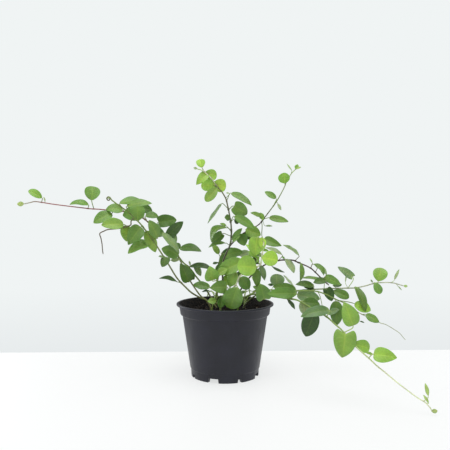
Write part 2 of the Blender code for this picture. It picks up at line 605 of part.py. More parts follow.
# Far right stem: long and nearly level, with round bright leaves near its end
RIGHT_FAR_FOOT = (27.0, 16.0)
RIGHT_FAR = [
    (31, 104, 15), (40, 111, 14), (52, 113.5, 13), (65, 113.5, 12), (80, 113, 10),
    (95, 112.7, 9), (113.6, 114, 8), (140, 115.3, 6), (160, 116, 5), (174, 116.4, 5),
    (188, 119, 4), (200.5, 122.6, 3), (214, 123.6, 2), (224.6, 123.2, 1), (234, 120.7, 1),
    (240, 119, 0),
]
RIGHT_FAR_LEAVES = [
    (117, 114.2, 119, 116, 106, 117.5, -1, -2, 6, 20, 0.0, "small"),
    (199, 122.2, 205.5, 125.2, 209.2, 143.6, 2, 7, 18.6, 0, 0.06, "round"),
    (199.5, 122.3, 200.5, 123.5, 208.5, 108.3, -2, -8, 10.6, 10, 0.05, "round"),
    (199, 122.2, 198, 123.8, 195.3, 127.6, 0, 2, 2.4, 20, 0.0, "small"),
    (223, 123.3, 227, 127, 233.5, 141.8, 1, 6, 4.2, 30, 0.0, "lance"),
    (229, 122, 232, 118.6, 237, 113, -1, -2, 2.4, 50, 0.0, "small"),
    (239, 119.3, 239.5, 119.1, 245, 118.6, 0, 0, 3.6, 10, 0.0, "small"),
    (165, 116.2, 171, 131, 151, 144.8, 2, 8, 11, 26, 0.04, "heart"),
    (164.5, 116.2, 161.5, 124, 163.3, 136.5, -1, 2, 2.4, 40, -0.05, "small"),
    (142, 115.4, 144.5, 112.5, 166.5, 103, -3, -10, 12, 12, 0.06, "round"),
    (138, 115.2, 136, 115.5, 143.5, 98.5, -3, -6, 13, 5, 0.04, "heart"),
    (174, 116.4, 175, 117.5, 189, 84.5, -6, -20, 11.5, 30, 0.09, "oval"),
    (70, 113.4, 69.5, 117.5, 69, 135.2, -5, -2, 18.6, 5, 0.05, "round"),
    (62, 113.5, 64.5, 120, 57.5, 120.9, 1, 3, 4, 25, 0.0, "small"),
    (96, 112.7, 95, 112, 64, 118.5, -3, -5, 14, 12, 0.05, "oval"),
    (119, 114.3, 118.5, 119, 94.5, 121, -3, -9, 9.5, 34, 0.06, "oval"),
    (117, 114.2, 118, 121.5, 98, 124.5, 1, 3, 6, 30, 0.03, "lance"),
    (133, 115, 131, 127.5, 103, 130.7, 3, 8, 9, 62, 0.03, "lance"),
    (93, 112.7, 94, 117, 79, 134.2, 2, 6, 8, 68, -0.03, "lance"),
    (96, 112.7, 97, 107.5, 128, 101.5, -3, -9, 17, 12, 0.06, "oval"),
    (150, 115.7, 145, 120, 157, 121, 1, 3, 8, 30, 0.04, "small"),
    (40, 111, 47.5, 114.5, 37.5, 118.5, 3, 5, 6, 20, 0.0, "small"),
]

# Middle right stem: slopes down to the right and thins out into a bare tendril
RIGHT_MID_FOOT = (25.0, 0.0)
RIGHT_MID = [
    (31, 98.5, -2), (42, 106.5, -5), (56, 110.5, -8), (95, 112.3, -14),
    (112, 112.6, -15), (124, 111.4, -17), (135, 107.8, -19), (145, 102.8, -21),
    (152, 99.5, -23), (160, 96, -25), (172, 88, -29), (178, 84, -31),
    (184, 80.7, -33), (198, 74.3, -38), (209, 69, -40), (217, 66.5, -42),
    (231, 58, -45), (236, 54, -46), (239.5, 49.5, -46), (242.8, 46, -46),
]
RIGHT_MID_LEAVES = [
    (147, 101.8, 149, 98.5, 150.3, 65.5, -3, -7, 17, 10, 0.06, "oval"),
    (152, 99.5, 174, 95, 196.5, 86, 12, 14, 14, 10, 0.06, "oval"),
    (184, 80.7, 189.5, 80.5, 207.5, 70, -3, -8, 9.7, 14, 0.06, "oval"),
    (125, 111, 138, 81.5, 153.5, 87.5, -11, -15, 8, 22, 0.05, "oval"),
    (172, 88, 181, 71.5, 187.5, 69.5, 2, 2, 2.4, 40, 0.0, "small"),
]

# Trailing stem: hangs forward over the right side and comes down to the table at its tip
TRAIL_FOOT = (17.0, -12.0)
TRAIL = [
    (22, 99, -14), (30, 105.5, -19), (40, 108, -26), (52, 107, -34), (66, 104.5, -43),
    (92, 101, -60), (100, 98.5, -66), (110, 93, -73), (118, 88, -80),
    (136.4, 77.5, -95), (148.4, 66.8, -105), (156.4, 60, -111), (167, 47, -119),
    (175, 38, -125), (195, 20, -135), (205, 10.5, -139), (217, 1, -143),
    (230, -10, -147), (245, -21.5, -151), (260, -32.5, -154), (268, -37, -156), (272, -40.5, -157),
    (276, -45, -158), (279.5, -50, -159),
]
TRAIL_LEAVES = [
    (160, 56, 161.3, 54.5, 157.5, 22, -5, -12, 25, 6, 0.06, "deep"),
    (174, 39, 173.5, 41.5, 195, 34.5, 2, 6, 13.5, 12, 0.06, "round"),
    (186, 28.5, 189, 29, 199.5, 26.7, 2, 3, 4, 40, 0.0, "small"),
    (193, 21.5, 200, 27, 232, 22, -3, -11, 16.5, 10, 0.06, "egg"),
    (268, -37, 274, -30, 269.5, -12, 2, 5, 4.4, 25, 0.04, "lance"),
    (270, -38.7, 274.6, -39.3, 267.2, -28.3, 1, 3, 3.4, 30, 0.0, "small"),
    (279.3, -49.7, 278.6, -50.6, 286.8, -49.8, 0, 0, 4.6, 8, 0.0, "small"),
    (136.4, 77.5, 140, 86, 101.5, 78, -5, -14, 13, 22, 0.07, "oval"),
    (125, 84, 121, 84, 108, 50.3, 2, 7, 20, 6, 0.06, "oval"),
    (160, 56, 172, 65.5, 159.5, 98, 4, 11, 19, 5, 0.06, "egg"),
    (57, 106.2, 52.5, 101.5, 47.5, 121.5, -4, -8, 19, 6, 0.06, "heart"),
    (52, 107, 51, 111.5, 35.5, 131.5, 6, 12, 8, 45, 0.04, "lance"),
    (80, 102.8, 83, 101.5, 94, 87.5, -2, -6, 6.5, 44, 0.04, "lance"),
    (104, 96.5, 105, 97, 127.5, 93.5, 3, 6, 13, 15, 0.07, "oval"),
    (103, 97.2, 103.5, 99, 108.5, 79.5, 3, 6, 12.5, 12, 0.06, "oval"),
    (88, 101.8, 95.5, 108.8, 57, 108.5, -3, -2, 13.5, 8, 0.05, "oval"),
]

# Three stems at the back, their places given from above: (x, y, z) in mm
BACK_LEFT = [
    (-12, 32, 76), (-12, 32, 90.2), (-14, 37, 98), (-17, 46, 103), (-20, 58, 104), (-24, 70, 100),
    (-27, 80, 89), (-29, 87, 76), (-31, 92, 61), (-33, 95, 46), (-36, 97, 31),
]
BACK_RIGHT = [
    (27, 34, 76), (27, 34, 90.2), (28, 40, 101), (31, 52, 109), (34, 65, 110), (36, 77, 102),
    (38, 86, 88), (39, 92, 71), (38, 96, 55),
]
BACK_HIGH = [
    (3, 40, 76), (3, 40, 90.2), (6, 45, 107), (12, 52, 124), (20, 62, 139), (29, 71, 150),
    (39, 78, 157), (49, 83, 160),
]


def paired(points, first, size, seed):
    """Leaves in opposite pairs, one pair at each bend of the stem from the first-th on, alternately
    spread wide and lifted, growing smaller toward the stem's end."""
    chance = random.Random(seed)
    pieces = []
    for k in range(first, len(points)):
        root = points[k]
        ahead = (points[k] - points[k - 1]).normalized()
        wide_dir = ahead.cross(Vector((0.0, 0.0, 1.0))).normalized()
        if (k - first) % 2 == 1:
            wide_dir = (wide_dir * 0.75 + ahead.cross(wide_dir) * 0.5).normalized()
        long = size * (1.0 - 0.45 * (k - first) / (len(points) - first)) * MM
        for hand in (-1.0, 1.0):
            out = (wide_dir * hand + ahead * chance.uniform(0.35, 0.7)).normalized()
            if out.y < -0.1:
                out.y = -0.1
            base = root + out * 0.005
            tip = root + out * (0.005 + long * chance.uniform(0.9, 1.1))
            tip.z -= long * chance.uniform(0.05, 0.25)
            look = Vector((0.0, 0.5, 1.0))
            wide = long / MM * chance.uniform(0.52, 0.62)
            pieces += leaf_at(root, base, tip, look, wide, chance.uniform(-15, 15), 0.08, "oval")
    return pieces


def back_shoot(name, places, first, size, seed):
    points = []
    for place in places:
        points.append(Vector(place) * MM)
    body = stem(name, points, 1.1, 0.7)
    combine(body, paired(points, first, size, seed), "UNION", "MANIFOLD")
    tidy(body, LEAF_MAT)
    FEET.append((places[0][:2], 1.1))
    return body


shoot("stem_left_low", LEFT_LOW_FOOT, 1.2, 0.75, LEFT_LOW, LEFT_LOW_TWIGS, LEFT_LOW_LEAVES, LEAF_MAT)
shoot("stem_left_far", LEFT_FAR_FOOT, 1.2, 0.7, LEFT_FAR, [], LEFT_FAR_LEAVES, LEAF_MAT)
shoot("stem_left_mid", LEFT_MID_FOOT, 1.15, 0.8, LEFT_MID, [], LEFT_MID_LEAVES, LEAF_MAT)
shoot("stem_crown", CROWN_FOOT, 1.3, 0.7, CROWN, CROWN_TWIGS, CROWN_LEAVES, LEAF_MAT)
shoot("stem_centre", CENTRE_FOOT, 1.2, 0.9, CENTRE, [], CENTRE_LEAVES, LEAF_MAT)
shoot("stem_front", FRONT_FOOT, 1.2, 0.8, FRONT, [], FRONT_LEAVES, YOUNG_MAT)
shoot("stem_low", LOW_FOOT, 1.1, 0.9, LOW, [], LOW_LEAVES, YOUNG_MAT)
shoot("stem_right_high", RIGHT_HIGH_FOOT, 1.15, 0.8, RIGHT_HIGH, [], RIGHT_HIGH_LEAVES, LEAF_MAT)
shoot("stem_right_far", RIGHT_FAR_FOOT, 1.2, 0.7, RIGHT_FAR, [], RIGHT_FAR_LEAVES, LEAF_MAT)
shoot("stem_right_mid", RIGHT_MID_FOOT, 1.15, 0.6, RIGHT_MID, [], RIGHT_MID_LEAVES, LEAF_MAT)
shoot("stem_trailing", TRAIL_FOOT, 1.25, 0.75, TRAIL, [], TRAIL_LEAVES, LEAF_MAT)
back_shoot("stem_back_left", BACK_LEFT, 6, 24.0, 12)
back_shoot("stem_back_right", BACK_RIGHT, 5, 24.0, 23)
back_shoot("stem_back_high", BACK_HIGH, 3, 23.0, 37)

# Peat: fills the pot up to its lumpy top and leaves a plain upright hole for each stem
chance = random.Random(5)
lumps = []
for radius, rough in ((30.0, 1.0), (46.0, 1.0)):
    ring = []
    for k in range(SOIL_SIDES):
        ring.append(chance.uniform(-SOIL_LUMP, SOIL_LUMP) * rough)
    lumps.append((radius, ring))
soil_profile = [
    (0.0, FLOOR_TOP + GAP), (43.4 - GAP, FLOOR_TOP + GAP), (WALL_TOP_R - WALL - GAP, COLLAR_FOOT_Z - 0.3),
    (COLLAR_FOOT_R - WALL - GAP, COLLAR_FOOT_Z + 2.3), (57.9, SOIL_TOP - 1.5),
    (46.0, SOIL_TOP), (30.0, SOIL_TOP), (0.0, SOIL_TOP),
]
soil = turned("soil", soil_profile, SOIL_SIDES, SOIL_MAT)
for corner in soil.data.vertices:
    if corner.co.z < (SOIL_TOP - 0.5) * MM:
        continue
    far = math.hypot(corner.co.x, corner.co.y) / MM
    step = round(math.atan2(corner.co.y, corner.co.x) / (2.0 * math.pi) * SOIL_SIDES) % SOIL_SIDES
    for radius, ring in lumps:
        if abs(far - radius) < 1.0:
            corner.co.z += ring[step] * MM
holes = []
for foot, thick in FEET:
    holes.append(post("hole", foot[0], foot[1], ROOT_FOOT - GAP, SOIL_TOP + 6.0,
                      (thick + GAP) / math.cos(math.pi / 8.0) + 0.02, 8))
combine(soil, holes, "DIFFERENCE", "EXACT")
tidy(soil, SOIL_MAT)
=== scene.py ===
"""Potted periwinkle: the looks of every piece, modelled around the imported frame."""
import math
import random

import bpy
import numpy as np
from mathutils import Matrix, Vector


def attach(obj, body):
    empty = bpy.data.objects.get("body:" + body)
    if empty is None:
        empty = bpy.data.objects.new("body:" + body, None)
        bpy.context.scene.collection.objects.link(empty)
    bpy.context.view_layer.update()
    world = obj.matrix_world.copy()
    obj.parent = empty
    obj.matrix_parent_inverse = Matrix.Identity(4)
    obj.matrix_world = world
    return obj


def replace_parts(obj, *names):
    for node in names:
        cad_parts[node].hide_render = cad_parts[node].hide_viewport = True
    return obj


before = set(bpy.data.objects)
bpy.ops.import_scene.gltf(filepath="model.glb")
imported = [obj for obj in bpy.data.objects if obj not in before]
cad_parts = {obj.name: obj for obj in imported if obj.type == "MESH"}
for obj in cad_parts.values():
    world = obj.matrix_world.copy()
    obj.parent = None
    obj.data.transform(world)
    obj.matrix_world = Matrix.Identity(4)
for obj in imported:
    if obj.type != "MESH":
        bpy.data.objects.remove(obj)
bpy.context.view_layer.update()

# Camera and studio
# A white table whose far edge, a little askew, shows behind the pot, in front of a pale backdrop. The
# camera stands where the photograph was taken from: 786 mm in front of the pot's axis, 222 mm up.
EYE = np.array((0.0, -0.786, 0.222))
EYE_PITCH = math.radians(1.55)
EYE_LENS = 47.04
TABLE_HALF = 3.0
TABLE_FRONT = -2.0
TABLE_BACK = 0.128
TABLE_SKEW = 0.079
TABLE_DROP = 0.0002
TABLE_THICK = 0.04
WARM = (1.0, 0.995, 0.98)
COOL = (0.97, 0.98, 1.0)
# Soft square lights: the place, the height on the pot's axis that it faces, the size, power and colour
LIGHTS = {
    "light_above": ((0.15, -0.35, 1.5), 0.10, 1.3, 15.0, WARM),
    "light_left": ((-1.3, -0.9, 0.9), 0.12, 0.9, 5.0, WARM),
    "light_back_left": ((-1.25, 0.95, 0.5), 0.12, 0.9, 8.0, COOL),
    "light_back_right": ((1.35, 0.85, 0.5), 0.12, 0.8, 4.5, COOL),
}

camera = bpy.data.objects.new("camera", bpy.data.cameras.new("camera"))
camera.location = EYE
camera.rotation_euler = (math.pi / 2.0 - EYE_PITCH, 0.0, 0.0)
camera.data.lens = EYE_LENS
camera.data.sensor_width = 36.0
camera.data.clip_start = 0.01
bpy.context.scene.collection.objects.link(camera)
bpy.context.scene.camera = camera


def linear(red, green, blue):
    """A colour given in screen values of 0 to 255, as the linear values that the shader takes. A share c
    of 255 becomes c / 12.92 up to 0.04045, and ((c + 0.055) / 1.055) ^ 2.4 above it."""
    share = np.array((red, green, blue)) / 255.0
    return np.where(share <= 0.04045, share / 12.92, ((share + 0.055) / 1.055) ** 2.4)


def paint(red, green, blue):
    """The same colour, opaque, for an input of a node."""
    return (*linear(red, green, blue), 1.0)


def plug(tree, made, links):
    """Gives the inputs of a node what the links say: another node's output, a number or a colour."""
    for key, source in links.items():
        if isinstance(source, bpy.types.NodeSocket):
            tree.links.new(source, made.inputs[key])
        else:
            made.inputs[key].default_value = source


def node(tree, kind, links=None, **settings):
    """A new node of a material or of the world, with its own settings and its inputs plugged."""
    made = tree.nodes.new(kind)
    for key, value in settings.items():
        setattr(made, key, value)
    plug(tree, made, links or {})
    return made


def ranged(tree, value, low, high, to_low=0.0, to_high=1.0):
    """A value from low to high, carried evenly to the new range and held at its ends."""
    links = {"Value": value, "From Min": low, "From Max": high, "To Min": to_low, "To Max": to_high}
    return node(tree, "ShaderNodeMapRange", links).outputs[0]


def blend(tree, share, first, second):
    """The first colour, turned into the second as far as the share from 0 to 1 says."""
    return node(tree, "ShaderNodeMix", {"Factor": share, 6: first, 7: second}, data_type="RGBA").outputs[2]


def new_material(name):
    """A material with nodes, its tree and its shader."""
    material = bpy.data.materials.new(name)
    material.use_nodes = True
    return material, material.node_tree, material.node_tree.nodes["Principled BSDF"]


table_finish, table_tree, table_shader = new_material("table")
plug(table_tree, table_shader, {"Base Color": (0.22, 0.22, 0.22, 1.0), "Roughness": 0.6,
                                "Emission Color": (0.985, 1.0, 0.995, 1.0), "Emission Strength": 0.69})
left_back, right_back = TABLE_BACK - TABLE_SKEW, TABLE_BACK + TABLE_SKEW
table_mesh = bpy.data.meshes.new("table")
table_mesh.from_pydata([
    (-TABLE_HALF, TABLE_FRONT, -TABLE_DROP), (TABLE_HALF, TABLE_FRONT, -TABLE_DROP),
    (TABLE_HALF, right_back, -TABLE_DROP), (-TABLE_HALF, left_back, -TABLE_DROP),
    (-TABLE_HALF, left_back, -TABLE_THICK), (TABLE_HALF, right_back, -TABLE_THICK),
], [], [(0, 1, 2, 3), (3, 2, 5, 4)])
table_mesh.materials.append(table_finish)
table = bpy.data.objects.new("table", table_mesh)
bpy.context.scene.collection.objects.link(table)

for name, (place, aim_height, size, power, colour) in LIGHTS.items():
    lamp = bpy.data.lights.new(name, "AREA")
    lamp.size = size
    lamp.energy = power
    lamp.color = colour
    light = bpy.data.objects.new(name, lamp)
    light.location = place
    toward = Vector((0.0, 0.0, aim_height)) - Vector(place)
    light.rotation_euler = toward.to_track_quat("-Z", "Y").to_euler()
    light.visible_camera = False
    bpy.context.scene.collection.objects.link(light)

# The backdrop that the camera sees is bright, a little darker down toward the table's edge, and lights
# the plant less than it shows
world = bpy.data.worlds.new("studio")
world.use_nodes = True
sky = world.node_tree
ambient = sky.nodes["Background"]
plug(sky, ambient, {"Color": (0.96, 0.98, 1.0, 1.0), "Strength": 0.52})
ray = node(sky, "ShaderNodeTexCoord").outputs["Generated"]
climb = node(sky, "ShaderNodeSeparateXYZ", {0: ray}).outputs[2]
wall = blend(sky, ranged(sky, climb, -0.235, -0.13), paint(231, 235, 236), paint(240, 244, 244))
backdrop = node(sky, "ShaderNodeBackground", {"Color": wall, "Strength": 1.0})
seen = node(sky, "ShaderNodeLightPath").outputs["Is Camera Ray"]
both = node(sky, "ShaderNodeMixShader", {0: seen, 1: ambient.outputs[0], 2: backdrop.outputs[0]})
plug(sky, sky.nodes["World Output"], {"Surface": both.outputs[0]})
bpy.context.scene.world = world
bpy.context.scene.view_settings.view_transform = "Standard"

# Pot
# A 13 cm nursery pot, one thin black plastic moulding: a rolled lip, a stepped collar, a tapering wall
# with a faint line near its foot, and a foot ring with notches that let water out from its holed floor.
MM = 0.001
POT_TURNS = 224
RIM_R = 65.0
RIM_TOP = 96.4
COLLAR_R = 61.2
COLLAR_FOOT_R = 59.6
COLLAR_FOOT_Z = 82.0
WALL_TOP_R = 57.0
WALL_FOOT_R = 45.9
LINE_Z = 11.0
FOOT_R = 45.0
FLOOR_TOP = 8.0
FLOOR_UNDER = 6.0
# The foot ring begins at RING_FROM_R and is squeezed up to RING_TOP where it is notched. Its root, where
# it meets the floor's underside, lies between two radii and above ROOT_Z.
RING_FROM_R = 38.8
RING_TOP = LINE_Z - 0.8
ROOT_R = (38.0, 39.6)
ROOT_Z = 5.0
# Its four wide notches and four narrow slots: the turn of the middle from the front and half the width,
# both in degrees, and the height
NOTCHES = ([(turn, 9.0, 5.4) for turn in (-20.0, 70.0, 160.0, 250.0)]
           + [(turn, 3.3, 4.3) for turn in (-65.0, 25.0, 115.0, 205.0)])
DRAIN_R = 4.0
DRAIN_RING_R = 27.0
DRAIN_SIDES = 28
DRAINS = 6

# The turned profile from the middle of the underside, out, up and back down inside: radius, height,
# and the radius of the rounding at that corner
POT_PROFILE = [
    (0.0, 0.0, 0.0), (13.0, 0.0, 0.4), (13.6, FLOOR_UNDER, 0.8), (39.1, FLOOR_UNDER, 0.8),
    (39.5, 0.0, 0.3), (FOOT_R, 0.0, 0.7), (45.6, LINE_Z - 0.6, 0.3), (WALL_FOOT_R + 0.6, LINE_Z + 0.2, 0.4),
    (WALL_TOP_R, COLLAR_FOOT_Z - 0.9, 0.7), (COLLAR_FOOT_R, COLLAR_FOOT_Z + 0.3, 0.9),
    (COLLAR_R, RIM_TOP - 3.2, 0.8), (RIM_R, RIM_TOP - 2.1, 0.6), (RIM_R - 0.1, RIM_TOP, 0.9),
    (60.6, RIM_TOP, 0.9), (58.0, COLLAR_FOOT_Z + 2.2, 1.0), (55.4, COLLAR_FOOT_Z - 0.4, 1.0),
    (43.4, FLOOR_TOP, 1.5), (0.0, FLOOR_TOP, 0.0),
]


def rounded_profile(corners, steps=5, spacing=2.2):
    """Points along a bent line: each corner is a quadratic curve that leaves the straight runs at its
    rounding's radius, and the straight runs are divided at about the spacing."""
    corners = np.array(corners)
    places, radii = corners[:, :2], corners[:, 2]
    out = [places[:1]]
    for k in range(1, len(places) - 1):
        back = places[k - 1] - places[k]
        ahead = places[k + 1] - places[k]
        reach = min(radii[k], np.linalg.norm(back) * 0.45, np.linalg.norm(ahead) * 0.45)
        enter = places[k] + back / np.linalg.norm(back) * reach
        leave = places[k] + ahead / np.linalg.norm(ahead) * reach
        t = np.linspace(0.0, 1.0, steps)[:, None]
        arc = (1.0 - t) ** 2 * enter + 2.0 * t * (1.0 - t) * places[k] + t ** 2 * leave
        gap = np.linalg.norm(enter - out[-1][-1])
        run = np.linspace(0.0, 1.0, max(int(gap / spacing), 1) + 1)[1:-1, None]
        out += [out[-1][-1] * (1.0 - run) + enter * run, arc]
    gap = np.linalg.norm(places[-1] - out[-1][-1])
    run = np.linspace(0.0, 1.0, max(int(gap / spacing), 1) + 1)[1:, None]
    out.append(out[-1][-1] * (1.0 - run) + places[-1] * run)
    return np.concatenate(out)


def skin(rings, first, last):
    """A closed skin over rings of points, (rows, around, 3), with a single point at each end. Returns
    the points, the four-sided faces and the end triangles, turned so that they face outward: the
    volume that they close, the sum of a . (b x c) / 6 over the triangles, is made positive."""
    rows, around = rings.shape[:2]
    points = np.concatenate([first[None], rings.reshape(-1, 3), last[None]])
    k = np.arange(around)
    n = (k + 1) % around
    low = 1 + np.arange(rows - 1)[:, None] * around
    quads = np.stack([low + k, low + n, low + around + n, low + around + k], -1).reshape(-1, 4)
    end = 1 + (rows - 1) * around
    ends = [np.stack([k * 0, n + 1, k + 1], -1), np.stack([end + k, end + n, k * 0 + len(points) - 1], -1)]
    tris = np.concatenate(ends)
    parts = np.concatenate([quads[:, :3], quads[:, [0, 2, 3]], tris])
    a, b, c = points[parts[:, 0]], points[parts[:, 1]], points[parts[:, 2]]
    if np.sum(a * np.cross(b, c)) < 0.0:
        quads, tris = quads[:, ::-1], tris[:, ::-1]
    return points, quads, tris


def mesh_from(name, skins):
    """One mesh of a list of skins, smooth all over, and the points that its faces' corners name."""
    starts = np.cumsum([0] + [len(points) for points, quads, tris in skins[:-1]])
    points = np.concatenate([points for points, quads, tris in skins])
    quads = np.concatenate([quads + start for (_, quads, _), start in zip(skins, starts)])
    tris = np.concatenate([tris + start for (_, _, tris), start in zip(skins, starts)])
    corners = np.concatenate([quads.ravel(), tris.ravel()]).astype(np.int32)
    sizes = np.concatenate([np.full(len(quads), 4), np.full(len(tris), 3)]).astype(np.int32)
    mesh = bpy.data.meshes.new(name)
    mesh.vertices.add(len(points))
    mesh.vertices.foreach_set("co", points.astype(np.float32).ravel())
    mesh.loops.add(len(corners))
    mesh.loops.foreach_set("vertex_index", corners)
    mesh.polygons.add(len(sizes))
    mesh.polygons.foreach_set("loop_start", (np.cumsum(sizes) - sizes).astype(np.int32))
    mesh.polygons.foreach_set("use_smooth", np.ones(len(sizes), bool))
    mesh.update(calc_edges=True)
    return mesh, corners


def piece_from(name, mesh, material):
    """A piece of the object: it has this mesh and finish, and rides on the pot's own body."""
    mesh.materials.clear()
    mesh.materials.append(material)
    made = bpy.data.objects.new(name, mesh)
    bpy.context.scene.collection.objects.link(made)
    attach(made, "root")
    return made


def wrapped(turn):
    """A turn in degrees, brought to between -180 and 180."""
    return (turn + 180.0) % 360.0 - 180.0


def whole_turn(count):
    """Angles evenly spaced over one turn, from 0 on."""
    return np.linspace(0.0, 2.0 * math.pi, count, endpoint=False)


def polar(radius, angle, height):
    """Places at a radius from the upright axis, turned by an angle from +X, at a height."""
    return np.stack(np.broadcast_arrays(radius * np.cos(angle), radius * np.sin(angle), height), -1)


def notch_lift(turns):
    """How far the foot ring's lower edge is raised at each turn, in degrees: the notch's height inside
    it, and a steep straight side one degree wide at each end."""
    lift = np.zeros_like(turns)
    for middle, half, high in NOTCHES:
        off = np.abs(wrapped(turns - middle))
        lift = np.maximum(lift, high * np.clip(half + 0.5 - off, 0.0, 1.0))
    return lift


def pot_skin():
    """The profile turned about the upright axis. Below RING_TOP the outer ring's heights are squeezed
    upward where a notch lies: z becomes lift + z (1 - lift / RING_TOP)."""
    profile = rounded_profile(POT_PROFILE)[1:-1]
    turns = [np.linspace(-180.0, 180.0, POT_TURNS, endpoint=False)]
    for middle, half, high in NOTCHES:
        turns.append(wrapped(middle + np.array((-half - 0.5, -half + 0.5, half - 0.5, half + 0.5))))
    turns = np.unique(np.round(np.concatenate(turns), 3))
    # turn 0 is the front, toward -Y
    angle = np.radians(turns) - math.pi / 2.0
    radius, height = profile[:, :1], profile[:, 1:]
    lift = notch_lift(turns)[None]
    ring = (radius > RING_FROM_R) & (height < RING_TOP)
    height = np.where(ring, lift + height * (1.0 - lift / RING_TOP), height)
    root = (radius > ROOT_R[0]) & (radius <= ROOT_R[1]) & (height > ROOT_Z)
    height = np.where(root, np.minimum(height, FLOOR_UNDER), height)
    first = np.array((0.0, 0.0, POT_PROFILE[0][1])) * MM
    last = np.array((0.0, 0.0, FLOOR_TOP)) * MM
    return skin(polar(radius, angle, height) * MM, first, last)


def noise(tree, place, scale, detail, roughness=0.5):
    """Cloudy noise around 0.5, scale lumps to the metre, with finer layers as the detail says."""
    links = {"Vector": place, "Scale": scale, "Detail": detail, "Roughness": roughness}
    return node(tree, "ShaderNodeTexNoise", links).outputs["Fac"]


def sums(tree, kind, *inputs):
    """One sum, of the kind named, of up to three values."""
    return node(tree, "ShaderNodeMath", dict(enumerate(inputs)), operation=kind).outputs[0]


def vector_sums(tree, kind, *inputs):
    """The same of places or colours, in all three parts at once. Gives the node, for either output."""
    return node(tree, "ShaderNodeVectorMath", dict(enumerate(inputs)), operation=kind)


def relief(tree, height, strength, distance, below=None):
    """The surface tilted by the slopes of a height, on top of a coarser relief below it."""
    links = {"Height": height, "Strength": strength, "Distance": distance}
    if below is not None:
        links["Normal"] = below
    return node(tree, "ShaderNodeBump", links).outputs[0]


def pot_plastic():
    """Black recycled plastic: fine grain, soft upright drag marks and a few pale specks of dust, with
    painted
    shade inside: near-black and rough, flecked with pale specks."""
    material, tree, shader = new_material("pot_black_plastic")
    place = node(tree, "ShaderNodeTexCoord").outputs["Object"]
    upright = node(tree, "ShaderNodeMapping", {"Vector": place, "Scale": (1.0, 1.0, 0.06)}).outputs[0]
    cloud = noise(tree, place, 38.0, 5.0)
    drag = noise(tree, upright, 420.0, 2.0)
    grain = noise(tree, place, 2600.0, 2.0)
    dust = noise(tree, place, 900.0, 3.0)
    black = blend(tree, ranged(tree, cloud, 0.3, 0.7), paint(23, 24, 33), paint(31, 32, 44))
    dusty = blend(tree, ranged(tree, dust, 0.69, 0.78, 0.0, 0.35), black, paint(118, 112, 104))
    # painted shade darkens the inside and the lip's inner edge, near-black with pale specks, where the
    # radius is below a limit that widens with the height
    flat = vector_sums(tree, "MULTIPLY", place, (1.0, 1.0, 0.0)).outputs[0]
    radius = vector_sums(tree, "LENGTH", flat).outputs["Value"]
    height = node(tree, "ShaderNodeSeparateXYZ", {0: place}).outputs["Z"]
    inner_wall = ranged(tree, height, 0.084, 0.093, 0.0583, 0.0600)
    lip = ranged(tree, height, 0.0945, 0.096, 0.0, 0.0017)
    limit = sums(tree, "MULTIPLY_ADD", cloud, 0.0012, sums(tree, "ADD", inner_wall, lip))
    painted_shade_share = ranged(tree, sums(tree, "SUBTRACT", limit, radius), -0.0001, 0.0002, 0.0, 0.9)
    painted_shade_inside = sums(tree, "MULTIPLY", painted_shade_share, sums(tree, "GREATER_THAN", height, 0.0842))
    # painted shade: near-black where the inner wall lies in shade, flecked with pale specks
    painted_shade_colour = blend(tree, ranged(tree, dust, 0.56, 0.70), paint(10, 9, 9), paint(96, 82, 68))
    gloss = ranged(tree, drag, 0.3, 0.7, 0.34, 0.47)
    plug(tree, shader, {
        "Base Color": blend(tree, painted_shade_inside, dusty, painted_shade_colour),
        "Roughness": node(tree, "ShaderNodeMix", {0: painted_shade_inside, 2: gloss, 3: 0.95}).outputs[0],
        "Specular IOR Level": 0.38,
        "Normal": relief(tree, grain, 0.16, 0.0001, relief(tree, drag, 0.12, 0.0003)),
    })
    return material


def drain_rods():
    """Upright rods through the floor: a circle of DRAIN_R carried up, at even turns of one ring."""
    heights = np.array((FLOOR_UNDER - 3.0, FLOOR_TOP + 3.0))[:, None]
    rods = []
    for k in range(DRAINS):
        centre = polar(DRAIN_RING_R, 2.0 * math.pi * (k + 0.5) / DRAINS, 0.0)
        rings = (centre + polar(DRAIN_R, whole_turn(DRAIN_SIDES), heights)) * MM
        rods.append(skin(rings, rings[0].mean(0), rings[1].mean(0)))
    return rods


def cut_out(mesh, rods):
    """The mesh with the rods taken out of it."""
    body = bpy.data.objects.new("cut_body", mesh)
    tool = bpy.data.objects.new("cut_tool", mesh_from("cut_tool", rods)[0])
    bpy.context.scene.collection.objects.link(body)
    bpy.context.scene.collection.objects.link(tool)
    change = body.modifiers.new("cut", "BOOLEAN")
    change.operation = "DIFFERENCE"
    change.object = tool
    change.solver = "MANIFOLD"
    graph = bpy.context.evaluated_depsgraph_get()
    done = bpy.data.meshes.new_from_object(body.evaluated_get(graph))
    bpy.data.objects.remove(body)
    bpy.data.objects.remove(tool)
    return done


pot_mesh = cut_out(mesh_from("nursery_pot", [pot_skin()])[0], drain_rods())
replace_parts(piece_from("nursery_pot", pot_mesh, pot_plastic()), "pot")

# Peat
# Dark, damp potting peat, pressed in by hand to about 8 mm below the lip. Its top is a crust of crumbs
# in all sizes with brown fibres and pale specks, and it is one body down to the floor.
WALL = 1.6
PEAT_GAP = 0.3
PEAT_TOP = 88.0
PEAT_EDGE_R = 58.7
PEAT_FOOT_R = 43.1
PEAT_RINGS = 90
PEAT_AROUND = 260
DIP_FROM_R = 44.0
DIP_WIDE = 14.0
DIP_DEEP = 1.6
CRUMBS = 4200
CRUMB_REACH = 57.4
CRUMB_LEAST = 0.28
CRUMB_MORE = 1.5
# A crumb larger than this is never a brown one or a pale speck
CRUMB_LARGE = 1.2
FIBRES = 150
FIBRE_POINTS = 7
FIBRE_SIDES = 4
FIBRE_REACH = 54.0
FIBRE_LIFT = 0.35
